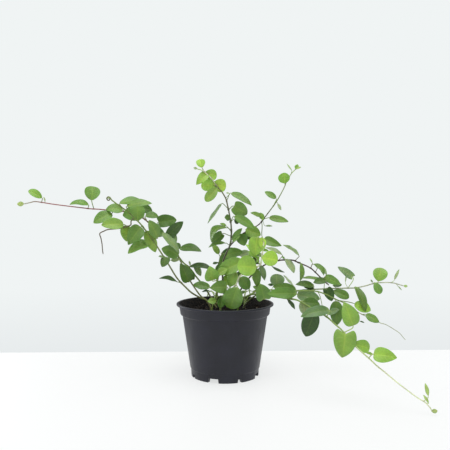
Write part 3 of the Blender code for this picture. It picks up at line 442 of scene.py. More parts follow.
# Damp peat, drier crumbs, brown ones and pale specks, and the share of the crumbs that each is
PEAT_BROWNS = np.array([linear(17, 14, 13), linear(27, 23, 21), linear(46, 39, 33), linear(150, 138, 122)])
PEAT_SHARES = (0.60, 0.27, 0.08, 0.05)
FIBRE_BROWN = linear(74, 60, 48)
peat_chance = np.random.default_rng(7)


def waves(x, y, seed, length, count=9):
    """A smooth uneven height field, about -1 to 1: 1.8 times the mean of sine waves in seeded directions,
    with lengths around the given one, in the same unit as x and y."""
    draw = np.random.default_rng(seed)
    turn = draw.uniform(0.0, 2.0 * math.pi, count)
    size = length * draw.uniform(0.7, 1.5, count)
    shift = draw.uniform(0.0, 2.0 * math.pi, count)
    total = np.zeros_like(x)
    for a, step, start in zip(turn, size, shift):
        total += np.sin((x * math.cos(a) + y * math.sin(a)) * 2.0 * math.pi / step + start)
    return total / count * 1.8


def peat_height(x, y):
    """The peat's top, in mm: hollows 30 mm and 9 mm wide, clods, and a dip where it meets the pot, which
    deepens with the square of the distance past DIP_FROM_R."""
    rise = 1.3 * waves(x, y, 3, 30.0) + 0.7 * waves(x, y, 4, 9.0) + 0.35 * waves(x, y, 5, 3.4)
    return PEAT_TOP + rise - DIP_DEEP * np.clip((np.hypot(x, y) - DIP_FROM_R) / DIP_WIDE, 0.0, 1.0) ** 2


def peat_skin():
    """Rings from the middle of the top outward, then down the side to the floor. On top, ring k has
    the radius of the edge times (k / rings) ^ 0.8, so the rings lie a little closer near the edge."""
    angle = whole_turn(PEAT_AROUND)
    radius = PEAT_EDGE_R * (np.arange(1, PEAT_RINGS + 1) / PEAT_RINGS)[:, None] ** 0.8
    x, y = radius * np.cos(angle), radius * np.sin(angle)
    top = polar(radius, angle, peat_height(x, y))
    side = np.array([(COLLAR_FOOT_R - WALL - PEAT_GAP, COLLAR_FOOT_Z + 2.3),
                     (WALL_TOP_R - WALL - PEAT_GAP, COLLAR_FOOT_Z - 0.3),
                     (PEAT_FOOT_R, FLOOR_TOP + PEAT_GAP)])
    down = polar(side[:, :1], angle, side[:, 1:])
    middle = np.array((0.0, 0.0, float(peat_height(np.zeros(1), np.zeros(1))[0])))
    foot = np.array((0.0, 0.0, FLOOR_TOP + PEAT_GAP))
    return skin(np.concatenate([top, down]) * MM, middle * MM, foot * MM)


def peat_material():
    """Near-black brown, rough and crumbled, tinted by each crumb's own colour."""
    material, tree, shader = new_material("damp_peat")
    place = node(tree, "ShaderNodeTexCoord").outputs["Object"]
    tint = node(tree, "ShaderNodeAttribute", attribute_name="tint").outputs["Color"]
    clump = noise(tree, place, 340.0, 6.0, 0.7)
    grit = node(tree, "ShaderNodeTexVoronoi", {"Vector": place, "Scale": 620.0}).outputs["Distance"]
    shade = ranged(tree, clump, 0.3, 0.75, 0.35, 1.8)
    plug(tree, shader, {
        "Base Color": vector_sums(tree, "MULTIPLY", tint, shade).outputs[0],
        "Roughness": 0.95,
        "Specular IOR Level": 0.2,
        "Normal": relief(tree, grit, 0.5, 0.0006, relief(tree, clump, 0.8, 0.0012)),
    })
    return material


def set_tint(mesh, colours):
    """Stores a colour for each point, which the material multiplies or mixes."""
    tint = mesh.attributes.new("tint", "FLOAT_COLOR", "POINT")
    whole = np.concatenate([colours, np.ones((len(colours), 1))], 1)
    tint.data.foreach_set("color", whole.astype(np.float32).ravel())


def crumb_skins():
    """Crumbs scattered over the peat, and their tints. Each is a ball of 12 points on a twenty-faced net,
    every point moved in or out by up to a third, squashed, turned at random and sunk into the top."""
    gold = (1.0 + math.sqrt(5.0)) / 2.0
    net = np.array([(-1, gold, 0), (1, gold, 0), (-1, -gold, 0), (1, -gold, 0),
                    (0, -1, gold), (0, 1, gold), (0, -1, -gold), (0, 1, -gold),
                    (gold, 0, -1), (gold, 0, 1), (-gold, 0, -1), (-gold, 0, 1)])
    net = net / np.linalg.norm(net[0])
    faces = np.array([(0, 11, 5), (0, 5, 1), (0, 1, 7), (0, 7, 10), (0, 10, 11), (1, 5, 9), (5, 11, 4),
                      (11, 10, 2), (10, 7, 6), (7, 1, 8), (3, 9, 4), (3, 4, 2), (3, 2, 6), (3, 6, 8),
                      (3, 8, 9), (4, 9, 5), (2, 4, 11), (6, 2, 10), (8, 6, 7), (9, 8, 1)])
    draw = peat_chance
    radius = CRUMB_REACH * np.sqrt(draw.uniform(0.0, 1.0, CRUMBS))
    turn = draw.uniform(0.0, 2.0 * math.pi, CRUMBS)
    size = (CRUMB_LEAST + CRUMB_MORE * draw.uniform(0.0, 1.0, CRUMBS) ** 3.2)[:, None]
    shape = net * (1.0 + draw.uniform(-0.3, 0.3, (CRUMBS, len(net), 1)))
    shape = shape * draw.uniform((0.7, 0.6, 0.5), (1.25, 1.0, 0.85), (CRUMBS, 3))[:, None]
    a, b = draw.uniform(0.0, 2.0 * math.pi, (2, CRUMBS, 1))
    x = shape[..., 0] * np.cos(a) - shape[..., 1] * np.sin(a)
    y = shape[..., 0] * np.sin(a) + shape[..., 1] * np.cos(a)
    tilt = 0.5 * np.sin(b)
    z = shape[..., 2] * np.cos(tilt) + x * np.sin(tilt)
    px, py = (radius * np.cos(turn))[:, None], (radius * np.sin(turn))[:, None]
    pz = peat_height(px, py) + size * 0.15
    points = np.stack([px + x * size, py + y * size, pz + z * size], -1).reshape(-1, 3) * MM
    corners = (faces + np.arange(CRUMBS)[:, None, None] * len(net)).reshape(-1, 3)
    kind = draw.choice(4, CRUMBS, p=PEAT_SHARES)
    kind = np.where(size[:, 0] > CRUMB_LARGE, np.minimum(kind, 1), kind)
    return (points, np.zeros((0, 4), int), corners), np.repeat(PEAT_BROWNS[kind], len(net), 0)


def tube(points, radii, sides, reference):
    """A round tube along a line of points: at each point a circle of its radius, square to the line,
    with its first spoke square to the reference direction. Both ends are closed with a point."""
    ahead = np.gradient(points, axis=0)
    ahead = ahead / np.linalg.norm(ahead, axis=1, keepdims=True)
    spoke = np.cross(ahead, reference)
    spoke = spoke / np.linalg.norm(spoke, axis=1, keepdims=True)
    other = np.cross(ahead, spoke)
    turn = whole_turn(sides)[:, None]
    circle = spoke[:, None] * np.cos(turn) + other[:, None] * np.sin(turn)
    rings = points[:, None] + circle * np.asarray(radii)[:, None, None]
    return skin(rings, points[0], points[-1])


def fibre_skins():
    """Short brown fibres lying on the peat: a line bent into a shallow arc, lifted clear of the top."""
    draw = peat_chance
    skins = []
    t = np.linspace(-0.5, 0.5, FIBRE_POINTS)
    arc = 0.25 - t ** 2
    for k in range(FIBRES):
        far = FIBRE_REACH * math.sqrt(draw.uniform())
        turn, way = draw.uniform(0.0, 2.0 * math.pi, 2)
        length, bend = draw.uniform(2.5, 9.0), draw.uniform(-0.3, 0.3)
        across = bend * length * arc
        x = far * math.cos(turn) + t * length * math.cos(way) - across * math.sin(way)
        y = far * math.sin(turn) + t * length * math.sin(way) + across * math.cos(way)
        thick = draw.uniform(0.09, 0.24)
        z = peat_height(x, y) + FIBRE_LIFT + draw.uniform(0.0, 4.0) * arc
        line = np.stack([x, y, z], -1) * MM
        radii = np.full(FIBRE_POINTS, thick * MM)
        skins.append(tube(line, radii, FIBRE_SIDES, np.array((0.0, 0.0, 1.0))))
    return skins


peat_mesh = mesh_from("peat", [peat_skin()])[0]
set_tint(peat_mesh, np.repeat(PEAT_BROWNS[:1], len(peat_mesh.vertices), 0))
peat_finish = peat_material()
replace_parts(piece_from("peat", peat_mesh, peat_finish), "soil")

crumbs, crumb_tints = crumb_skins()
fibres = fibre_skins()
fibre_points = sum(len(points) for points, quads, tris in fibres)
crumb_mesh = mesh_from("peat_crumbs", [crumbs] + fibres)[0]
set_tint(crumb_mesh, np.concatenate([crumb_tints, np.repeat(FIBRE_BROWN[None], fibre_points, 0)]))
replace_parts(piece_from("peat_crumbs", crumb_mesh, peat_finish), "soil")

# Leaf and stem material
# Glossy leaves, dark and leathery when old, thin and yellow-green when young, with a pale midrib and
# side veins that arch toward the margin. Stems and leaf stalks share the finish, without the veins.
SIDE_VEINS = 6.5
VEIN_SWEEP = 0.24
VEIN_BEND = 1.3
PALER_TIMES = (1.45, 1.3, 1.25)
PALER_PLUS = (0.05, 0.055, 0.02)


def leaf_material(name, gloss, glow):
    """The tint of each point, mottled; veins drawn on the leaf map, whose u runs from the blade's base
    to its tip and v across it. Side vein lines are where SIDE_VEINS (u - VEIN_SWEEP q ^ VEIN_BEND) is
    whole, with q the distance from the midrib as a share of the half width."""
    material, tree, shader = new_material(name)
    place = node(tree, "ShaderNodeTexCoord").outputs["Object"]
    tint = node(tree, "ShaderNodeAttribute", attribute_name="tint").outputs["Color"]
    share = node(tree, "ShaderNodeAttribute", attribute_name="leaf_share").outputs["Fac"]
    leaf_map = node(tree, "ShaderNodeUVMap", uv_map="leaf_map").outputs[0]
    along, beside = node(tree, "ShaderNodeSeparateXYZ", {0: leaf_map}).outputs[:2]
    across = sums(tree, "ABSOLUTE", sums(tree, "MULTIPLY_ADD", beside, 2.0, -1.0))
    arch = sums(tree, "MULTIPLY", sums(tree, "POWER", across, VEIN_BEND), VEIN_SWEEP)
    count = sums(tree, "MULTIPLY", sums(tree, "SUBTRACT", along, arch), SIDE_VEINS)
    off = sums(tree, "ABSOLUTE", sums(tree, "SUBTRACT", sums(tree, "FRACT", count), 0.5))
    fading = ranged(tree, across, 0.55, 0.95, 0.75, 0.0)
    side = sums(tree, "MULTIPLY", ranged(tree, off, 0.40, 0.49), fading)
    midrib = ranged(tree, across, 0.03, 0.11, 1.0, 0.0)
    veins = sums(tree, "MULTIPLY", sums(tree, "MAXIMUM", side, midrib), share)
    cells = noise(tree, place, 520.0, 4.0)
    cloudy = ranged(tree, noise(tree, place, 75.0, 3.0), 0.3, 0.7, 0.86, 1.14)
    shade = sums(tree, "MULTIPLY", cloudy, ranged(tree, cells, 0.3, 0.7, 0.93, 1.07))
    mottled = vector_sums(tree, "MULTIPLY", tint, shade).outputs[0]
    paler = vector_sums(tree, "MULTIPLY_ADD", tint, PALER_TIMES, PALER_PLUS).outputs[0]
    height = sums(tree, "SUBTRACT", sums(tree, "MULTIPLY", cells, 0.12), veins)
    plug(tree, shader, {
        "Base Color": blend(tree, sums(tree, "MULTIPLY", veins, 0.34), mottled, paler),
        "Roughness": ranged(tree, cells, 0.3, 0.7, gloss - 0.05, gloss + 0.07),
        "Subsurface Weight": glow,
        "Subsurface Radius": (0.5, 1.0, 0.15),
        "Subsurface Scale": 0.0015,
        "Normal": relief(tree, height, 0.55, 0.00025),
    })
    return material


# Each finish goes with the record's slot that it belongs to
OLD_LEAF = (leaf_material("periwinkle_leaf", 0.42, 0.12), "leaf_green")
YOUNG_LEAF = (leaf_material("periwinkle_young_leaf", 0.38, 0.22), "young_leaf")

# Leaf tints by age, and by painted light and shade, and the colours of bark
# "shade" is painted shade under other leaves, and "dark" partly so; the pale "grey" and "mist" are partly
# painted sheen
TINTS = {tint: linear(*colour) for tint, colour in {
    "bud": (168, 190, 112), "lime": (160, 198, 68), "bright": (146, 186, 70), "fresh": (126, 164, 66),
    "mid": (107, 145, 60), "leaf": (92, 129, 47), "deep": (76, 110, 38), "dark": (54, 85, 28),
    "grey": (114, 142, 88), "mist": (152, 172, 120), "sage": (98, 129, 72), "shade": (38, 66, 16),
}.items()}
BARK = {bark: linear(*colour) for bark, colour in {
    "pale": (164, 188, 104), "cream": (216, 221, 182), "moss": (112, 118, 70), "rust": (126, 80, 70),
    "green": (116, 140, 62), "straw": (144, 140, 92), "red": (150, 88, 86), "purple": (78, 60, 52),
    "twig": (100, 104, 74), "grey": (108, 104, 76), "dark": (78, 78, 52), "dry": (96, 82, 62),
    "mist": (168, 174, 144),
}.items()}

# Leaf blades and stems
# Opposite leaves on short stalks along wiry round stems. Each blade is a thin bent plate with a channel
# along its midrib, swollen between its side veins, and its stalk runs on as a raised rib underneath.
BLADE_ROWS = 30
BLADE_ACROSS = 12
SMALL_ROWS = 16
SMALL_ACROSS = 6
SMALL_WIDE = 8.0
BLADE_THICK = 0.45
CUP = 0.10
PROUD = 1.05
QUILT = 0.016
CHANNEL_DEEP = 0.28
CHANNEL_WIDE = 0.55
RIPPLE_TURN = 6.28
DROOP_FROM = 0.55
# The lower face is paler. The base takes the stalk's colour; the margin is darker and bluer with painted
# shade, the middle yellower and brighter with painted light.
UNDER_TIMES = 0.82
UNDER_PLUS = np.array((0.030, 0.042, 0.024))
BASE_REACH = 0.14
BASE_SHARE = 0.35
MARGIN_PAINTED_SHADE = np.array((-0.13, -0.07, 0.06))
MIDDLE_PAINTED_LIGHT = np.array((0.08, 0.04, -0.08))
STALK_R = 0.62
STALK_SIDES = 6
STALK_POINTS = 6
TWIG_R = 0.9
TWIG_END_R = 0.6
STEM_SIDES = 12
WAVER = 0.024
SWELL = 0.32
SWELL_REACH = 1.1
JOINT_DARK = 0.25
# Only a leaf wider than this has a joint on its stem
JOINT_WIDE = 4.0
# A stem starts inside the peat, and bends only once it is this far above the peat's top
ROOTED_Z = 80.0
RISE = 2.2
# Outline of a blade: the powers at its base and at its tip, and how far its lobes sweep back
FORMS = {"oval": (0.60, 0.80, 0.03), "heart": (0.38, 0.72, 0.14), "lance": (0.90, 1.00, 0.0),
         "small": (0.75, 0.85, 0.0), "deep": (0.36, 0.80, 0.27), "round": (0.72, 0.56, 0.0),
         "egg": (0.42, 0.90, 0.02)}


def sight(across, up, depth):
    """The place seen at (across, up) mm on the upright plane through the pot's axis, carried along the
    line from the eye to depth mm behind that plane."""
    eye = EYE / MM
    share = (depth - eye[1]) / -eye[1]
    return np.stack([across * share, depth + 0.0 * share, eye[2] + (up - eye[2]) * share], -1) * MM


def unit(v):
    """The direction of v: v divided by its length."""
    return v / np.linalg.norm(v, axis=-1, keepdims=True)


def smooth_line(points, per_span):
    """A line through all the points, as Catmull-Rom curves: on a span from b to c with neighbours a and
    d, the point at t is half of (2b + (c - a) t + (2a - 5b + 4c - d) t ^ 2 + (3b - a - 3c + d) t ^ 3)."""
    ends = np.concatenate([[2.0 * points[0] - points[1]], points, [2.0 * points[-1] - points[-2]]])
    a, b, c, d = ends[:-3, None], ends[1:-2, None], ends[2:-1, None], ends[3:, None]
    t = np.linspace(0.0, 1.0, per_span, endpoint=False)[:, None]
    curve = 0.5 * (2.0 * b + (c - a) * t + (2.0 * a - 5.0 * b + 4.0 * c - d) * t ** 2
                   + (3.0 * b - a - 3.0 * c + d) * t ** 3)
    return np.concatenate([curve.reshape(-1, points.shape[1]), points[-1:]])


def outline(s, form):
    """Half a blade's width as a share of the widest, s ^ a (1 - s) ^ b scaled so that its peak is 1."""
    a, b = FORMS[form][:2]
    peak = a / (a + b)
    return s ** a * (1.0 - s) ** b / (peak ** a * (1.0 - peak) ** b)


class Shoot:
    """The skins, tints, leaf shares and map places of one rooted stem, gathered piece by piece."""

    def __init__(self, name, seed):
        self.name = name
        self.draw = np.random.default_rng(seed)
        self.skins, self.tints, self.shares, self.maps = [], [], [], []

    def add(self, skinned, tint, share, place):
        """Keeps a skin, with the tint, leaf share and map place of each of its points."""
        count = len(skinned[0])
        self.skins.append(skinned)
        self.tints.append(np.broadcast_to(tint, (count, 3)))
        self.shares.append(np.full(count, share))
        self.maps.append(np.broadcast_to(place, (count, 2)))

    def stem(self, points, thick, thin, barks, joints=()):
        """A tube along the smooth line, thinning evenly, wavering a little and drawn in at its end, swollen
        and darkened at a joint by exp(-(distance / reach) ^ 2). Its colour runs through the barks from
        foot to end."""
        line = smooth_line(points, 6)
        share = np.linspace(0.0, 1.0, len(line))
        radii = thick + (thin - thick) * share
        near = np.zeros(len(line))
        for joint in joints:
            off = np.linalg.norm(line - joint, axis=1) / MM
            radii = radii * (1.0 + SWELL * np.exp(-(off / SWELL_REACH) ** 2))
            near = near + np.exp(-off ** 2)
        radii[-2:] *= (0.85, 0.5)
        waver = 1.0 + WAVER * np.sin(np.arange(len(line)) * 1.7)
        skinned = tube(line, radii * waver * MM, STEM_SIDES, np.array((0.1, 1.0, 0.25)))
        colours = np.array([BARK[bark] for bark in barks.split()])
        stops = np.linspace(0.0, 1.0, len(colours))
        mixed = np.stack([np.interp(share, stops, colours[:, k]) for k in range(3)], -1)
        rings = np.repeat(mixed * (1.0 - JOINT_DARK * near.clip(0.0, 1.0))[:, None], STEM_SIDES, 0)
        self.add(skinned, np.concatenate([mixed[:1], rings, mixed[-1:]]), 0.0, (0.0, 0.5))

    def leaf(self, root, base, tip, look, wide, roll, bow, form, tint, stalk_tint):
        """A blade with its stalk. Along the blade s runs 0 to 1 and across it q runs -1 to 1. The middle
        line is a parabola, the half width follows the outline, the sides rise with q, the lobes sweep
        back, the margin ripples, the blade dips along its midrib and side veins, and its end droops."""
        draw = self.draw
        length = np.linalg.norm(tip - base)
        axis = unit(tip - base)
        face = unit(look - axis * look.dot(axis))
        lift = np.cross(axis, face)
        if lift[2] + 0.3 * lift[0] < 0.0:
            lift = -lift
        turn = math.radians(roll)
        normal = face * math.cos(turn) + lift * math.sin(turn)
        side = np.cross(axis, normal)
        rows, across = (SMALL_ROWS, SMALL_ACROSS) if wide < SMALL_WIDE else (BLADE_ROWS, BLADE_ACROSS)
        s = (0.5 - 0.5 * np.cos(np.linspace(0.0, math.pi, rows + 2)))[:, None]
        step = np.sin(np.linspace(-0.5, 0.5, across + 1) * math.pi)
        q = np.concatenate([step, step[-2:0:-1]])[None]
        # 1 on the upper face, -1 on the lower one
        face_of = np.concatenate([np.ones(across + 1), -np.ones(across - 1)])[None]
        sway, twist = draw.uniform(-0.025, 0.025), draw.uniform(-0.35, 0.35)
        ripple, ripples = draw.uniform(0.02, 0.09), draw.uniform(1.2, 2.2)
        shift, droop = draw.uniform(0.0, RIPPLE_TURN), draw.uniform(0.0, 0.30)
        cup, uneven = CUP * draw.uniform(1.0, 2.6), draw.uniform(-0.07, 0.07)
        hump = 4.0 * s * (1.0 - s)
        half = wide / 2.0 * PROUD * MM * outline(s, form) * (1.0 + uneven * q)
        lobe = FORMS[form][2] * length * np.abs(q) * (1.0 - s) ** 3 * (1.0 - np.exp(-s / 0.025))
        slope = unit(axis + normal * bow * 4.0 * (1.0 - 2.0 * s))
        up = unit(np.cross(slope, side))
        up = np.where((up @ normal)[:, None] < 0.0, -up, up)
        wing = unit(side + up * twist * (s - 0.5))
        wave = np.sin(ripples * RIPPLE_TURN * s + shift * np.sign(q))
        rise = cup * half * np.abs(q) ** 1.3 + ripple * half * q * q * wave
        rise = rise - droop * length * np.clip(s - DROOP_FROM, 0.0, 1.0) ** 2
        vein = np.cos(2.0 * math.pi * SIDE_VEINS * (s - VEIN_SWEEP * np.abs(q) ** VEIN_BEND))
        quilt = -QUILT * half * vein * np.sin(math.pi * np.abs(q)) * hump
        channel = -CHANNEL_DEEP * MM * np.exp(-(q * half / (CHANNEL_WIDE * MM)) ** 2)
        channel = channel * np.sin(math.pi * s) * (wide > SMALL_WIDE)
        thick = face_of * BLADE_THICK / 2.0 * MM * np.sqrt(np.clip(1.0 - q ** 4, 0.0, 1.0))
        height = (rise + quilt + channel + thick)[..., None] * up[:, None]
        middle = base + axis * length * s + (normal * bow + side * sway) * length * hump
        points = middle[:, None] + wing[:, None] * (half * q)[..., None] + height - axis * lobe[..., None]
        end = tip - up[-1] * droop * length * (1.0 - DROOP_FROM) ** 2
        uv = np.stack(np.broadcast_arrays(s[1:-1], 0.5 + 0.5 * q), -1).reshape(-1, 2)
        under = np.broadcast_to(face_of < 0.0, (rows, 2 * across)).reshape(-1, 1)
        colour = tint * draw.uniform(0.93, 1.13) * draw.uniform(0.95, 1.05, 3)
        body = np.where(under, colour * UNDER_TIMES + UNDER_PLUS, colour)
        near = np.clip(1.0 - uv[:, :1] / BASE_REACH, 0.0, 1.0) * BASE_SHARE
        off = np.abs(uv[:, 1:] * 2.0 - 1.0)
        # painted shade darkens the margin and painted light brightens the middle
        painted_light_across = off ** 3 * MARGIN_PAINTED_SHADE + (1.0 - off) ** 2 * MIDDLE_PAINTED_LIGHT
        body = (body * (1.0 - near) + stalk_tint * near) * (1.0 + painted_light_across)
        uv = np.concatenate([[(0.0, 0.5)], uv, [(1.0, 0.5)]])
        body = np.concatenate([body[:1], body, body[-1:]])
        self.add(skin(points[1:-1], base, end), body, 1.0, uv)
        self.stalk(root, base, axis, middle - up * BLADE_THICK * 0.75 * MM, s, wide, stalk_tint, colour)

    def stalk(self, root, base, axis, under, s, wide, stalk_tint, colour):
        """A thin tube from the stem's middle, curving into the blade's base as a cubic curve, then on as
        the rib under the midrib, thinning toward the tip."""
        reach = np.linalg.norm(base - root)
        t = np.linspace(0.0, 1.0, STALK_POINTS + 1)[:-1, None]
        pull = root + (base - root) * 0.45 + self.draw.uniform(-0.06, 0.06, 3) * reach
        push = base - axis * reach * 0.30
        curve = ((1 - t) ** 3 * root + 3 * (1 - t) ** 2 * t * pull
                 + 3 * (1 - t) * t ** 2 * push + t ** 3 * base)
        keep = np.linspace(0, len(s) - 1, 9).astype(int)[:-1]
        thick = min(STALK_R, 0.30 + wide * 0.022)
        radii = np.concatenate([np.full(STALK_POINTS, thick), thick * 0.75 * (1.0 - s[keep, 0]) ** 0.6])
        line = np.concatenate([curve, under[keep]])
        skinned = tube(line, np.maximum(radii, 0.12) * MM, STALK_SIDES, np.array((0.31, 0.83, 0.47)))
        share = np.concatenate([np.zeros(STALK_POINTS), np.linspace(0.2, 1.0, len(keep))])[:, None]
        tints = stalk_tint * (1.0 - share) + (colour * 0.9 + 0.03) * share
        rings = np.repeat(tints, STALK_SIDES, 0)
        self.add(skinned, np.concatenate([tints[:1], rings, tints[-1:]]), 0.0, (0.0, 0.5))

    def finish(self, material, slot):
        """Makes the gathered skins one piece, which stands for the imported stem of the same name."""
        mesh, corners = mesh_from(self.name, self.skins)
        set_tint(mesh, np.concatenate(self.tints))
        share = mesh.attributes.new("leaf_share", "FLOAT", "POINT")
        share.data.foreach_set("value", np.concatenate(self.shares).astype(np.float32))
        leaf_map = mesh.uv_layers.new(name="leaf_map")
        leaf_map.data.foreach_set("uv", np.concatenate(self.maps)[corners].astype(np.float32).ravel())
        packed_name = self.name.replace("periwinkle_", "stem_")
        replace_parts(piece_from(self.name, mesh, material), packed_name)


def nearest(ways, across, up):
    """The seen place and depth on the ways that lie nearest to a seen place: on each straight span the
    foot of the square line from that place, held between the span's ends, and the closest of them."""
    best = None
    for way in ways:
        start, span = way[:-1], np.diff(way, axis=0)
        flat = np.maximum((span[:, :2] ** 2).sum(1), 1e-9)
        t = np.clip((((across, up) - start[:, :2]) * span[:, :2]).sum(1) / flat, 0.0, 1.0)
        spot = start + span * t[:, None]
        far = np.hypot(spot[:, 0] - across, spot[:, 1] - up)
        k = int(np.argmin(far))
        if best is None or far[k] < best[0]:
            best = (far[k], spot[k])
    return best[1]


def rooted_stem(name, foot, thick, thin, route, leaves, barks, stalk, twigs=(), twig_barks=(),
                finish=OLD_LEAF):
    """One rooted stem with its side stems and leaves. It comes straight up out of the peat at its foot
    and then follows its route. A leaf's row gives, in seen millimetres, where its stalk leaves the stem,
    the blade's base and its tip, then how far base and tip lie behind the stem there, the width, the
    roll away from the eye, the bow, the outline and the tint."""
    shoot = Shoot(name, sum(map(ord, name)))
    ways = [np.array(way, float) for way in (route, *twigs)]
    joints = [sight(*nearest(ways, *row[:2])) for row in leaves if row[8] > JOINT_WIDE]
    rise = np.array([(*foot, ROOTED_Z), (*foot, PEAT_TOP + RISE)]) * MM
    shoot.stem(np.concatenate([rise, sight(*ways[0].T)]), thick, thin, barks, joints)
    for way, shades in zip(ways[1:], twig_barks):
        shoot.stem(sight(*way.T), min(thick, TWIG_R), TWIG_END_R, shades, joints)
    for rx, rz, bx, bz, tx, tz, base_out, tip_out, wide, roll, bow, form, tint in leaves:
        x, z, depth = nearest(ways, rx, rz)
        base, tip = sight(bx, bz, depth + base_out), sight(tx, tz, depth + tip_out)
        shoot.leaf(sight(x, z, depth), base, tip, EYE - (base + tip) / 2.0, wide, roll, bow, form,
                   TINTS[tint], BARK[stalk])
    shoot.finish(*finish)


# Lower left stem
# A green stem that rises to the left in front of the others and ends in a dry curl. A bent twig hangs
# from it, bare past its two leaves. Like every stem it comes straight up out of the peat.
LEFT_LOW = [
    (-25, 99.5, -8), (-33, 103, -9), (-45, 110, -12), (-52, 116.5, -14),
    (-57, 121.5, -15), (-65, 130.5, -17), (-76, 148.5, -21), (-89, 169, -27),
    (-94, 177, -29), (-99, 184, -31), (-112, 201, -35), (-120, 209, -36),
    (-130, 218.5, -37), (-140, 225.5, -37), (-148, 231.5, -36.5), (-151.6, 234.3, -36.5),
    (-153.2, 237, -36.5), (-155.6, 238.4, -36), (-157.8, 236.8, -35), (-157, 234.2, -33.8),
    (-154.6, 233.9, -32.8), (-153.8, 236, -32),
]
LEFT_LOW_TWIGS = [[
    (-121.5, 210.5, -36), (-125.5, 206, -37), (-126, 201, -37.5), (-131, 198.8, -38),
    (-142, 196, -38), (-156, 194.7, -37), (-162, 192.5, -36), (-167.5, 189.3, -35),
    (-166, 183, -35), (-164.7, 176, -35), (-164, 168, -35), (-163.2, 161.5, -35),
]]
LEFT_LOW_LEAVES = [
    (-59, 122.5, -64, 124.5, -88.5, 129, -3, -12, 11, 62, 0.08, "lance", "dark"),
    (-78.5, 152, -78.5, 157.5, -84.5, 144.5, -4, -9, 11.5, 12, 0.05, "heart", "deep"),
    (-79.5, 154.5, -82, 157, -89, 159, -3, -7, 4.5, 50, 0.05, "small", "grey"),
    (-104, 192, -106, 192.5, -92.5, 164, 3, 5, 14, 10, 0.05, "oval", "fresh"),
    (-97, 181, -101, 176.5, -130, 162.3, 3, -10, 17, 42, 0.10, "oval", "mid"),
    (-110, 199, -112.5, 198, -130, 174, -4, -12, 19, 8, 0.05, "egg", "leaf"),
    (-97, 182, -90, 184, -101.5, 207.5, -4, -8, 14, 20, 0.06, "oval", "mid"),
    (-138, 224.5, -140.5, 229.5, -110, 233.5, -1, 8, 14, 50, 0.05, "oval", "mid"),
    (-127, 216, -131, 226, -97.5, 230.5, -5, -2, 12.5, 44, 0.06, "oval", "mid"),
    (-131, 199, -136, 201.5, -165.5, 201, -2, -13, 16, 30, 0.06, "oval", "fresh"),
    (-131, 199, -133, 200, -131.5, 178, 2, 5, 14, 12, 0.06, "egg", "fresh"),
    (-153.8, 236, -154.4, 236.6, -158, 237.2, 0.2, 0.6, 3.4, 30, 0.1, "small", "mist"),
]
rooted_stem("periwinkle_left_low", (-19.0, -6.0), 1.2, 0.7, LEFT_LOW, LEFT_LOW_LEAVES,
            "straw moss moss green green moss dry", "green", LEFT_LOW_TWIGS, ["moss dry dry"])

# Far left stem
# Long and wiry. It climbs to the left and then runs on nearly level, red-brown there, to a pale bud at
# its end. It is rooted behind the middle of the pot.
LEFT_FAR = [
    (-15, 97, 13), (-20, 105.5, 12), (-26, 115, 12), (-31, 122, 12), (-35, 127, 13),
    (-39.5, 132.5, 14), (-44, 139, 15), (-49.5, 145, 16), (-56, 150.5, 18), (-61, 157, 19),
    (-66, 164, 20), (-72, 172, 22), (-79, 180.5, 24), (-84, 187, 25), (-92, 195, 26),
    (-100, 202, 27), (-107, 208, 27), (-114, 212, 26), (-123, 216, 24), (-134, 218.5, 20),
    (-146, 220, 15), (-160, 221, 10), (-170, 221.9, 8), (-180, 222.4, 6), (-190, 223.6, 4),
    (-210, 226, 0), (-230, 228.6, -4), (-245, 231, -7), (-254, 232, -9), (-260, 230.8, -10),
    (-268.5, 228.9, -12),
]
LEFT_FAR_LEAVES = [
    (-267, 229, -268.5, 229, -278, 229, 0, 0, 6.2, 10, 0.0, "small", "bud"),
    (-245, 231, -244.5, 237, -262.5, 247, -1, -9, 11, 28, 0.06, "round", "fresh"),
    (-240, 230.2, -240.5, 232.5, -241.7, 238.5, 1, 6, 3.5, 60, 0.0, "small", "bud"),
    (-183, 222.9, -182.6, 227.8, -208, 228.5, -2, -12, 13, 56, 0.15, "oval", "mid"),
    (-175.5, 222.4, -178, 233.5, -177.5, 252.5, 2, 8, 20, 0, 0.06, "round", "mid"),
    (-134, 218.5, -137, 221, -159.5, 222, -5, -12, 15, 34, 0.12, "oval", "mid"),
    (-150, 220, -151.5, 216, -176, 203.5, -5, -16, 16.5, 25, 0.06, "oval", "mid"),
    (-112, 210.5, -108, 218, -137, 213.5, -7, -14, 21, 8, 0.08, "oval", "mid"),
    (-118, 214, -118, 228.5, -117, 205.5, -18.5, -21, 20, 5, 0.06, "oval", "mid"),
    (-107, 208, -112, 224, -97, 219.5, 4, 10, 12.5, 18, 0.05, "oval", "deep"),
    (-104, 205, -106, 213, -88, 212, 2, 9, 12.5, 42, 0.10, "oval", "leaf"),
    (-84, 187, -89, 204.5, -64.5, 207.5, 3, 10, 17, 6, 0.06, "heart", "deep"),
    (-84, 188, -87.5, 190.5, -99, 203, -3, -5, 13, 30, 0.06, "oval", "grey"),
    (-66, 164, -60, 169.5, -31.5, 165.3, -2, -14, 14, 42, 0.10, "oval", "deep"),
    (-50, 145.5, -47.5, 144.8, -18, 142.8, -3, -12, 11.5, 50, 0.08, "oval", "dark"),
    (-50, 145, -38.5, 145, -32.5, 132, -1, -5, 9, 22, 0.05, "heart", "mist"),
    (-47, 142.5, -46.8, 146.5, -48, 152.8, 0, 4, 3.5, 40, 0.0, "small", "mist"),
]
rooted_stem("periwinkle_left_far", (-5.0, 15.0), 1.2, 0.65, LEFT_FAR, LEFT_FAR_LEAVES,
            "straw moss green green green moss rust red red red mist", "green")

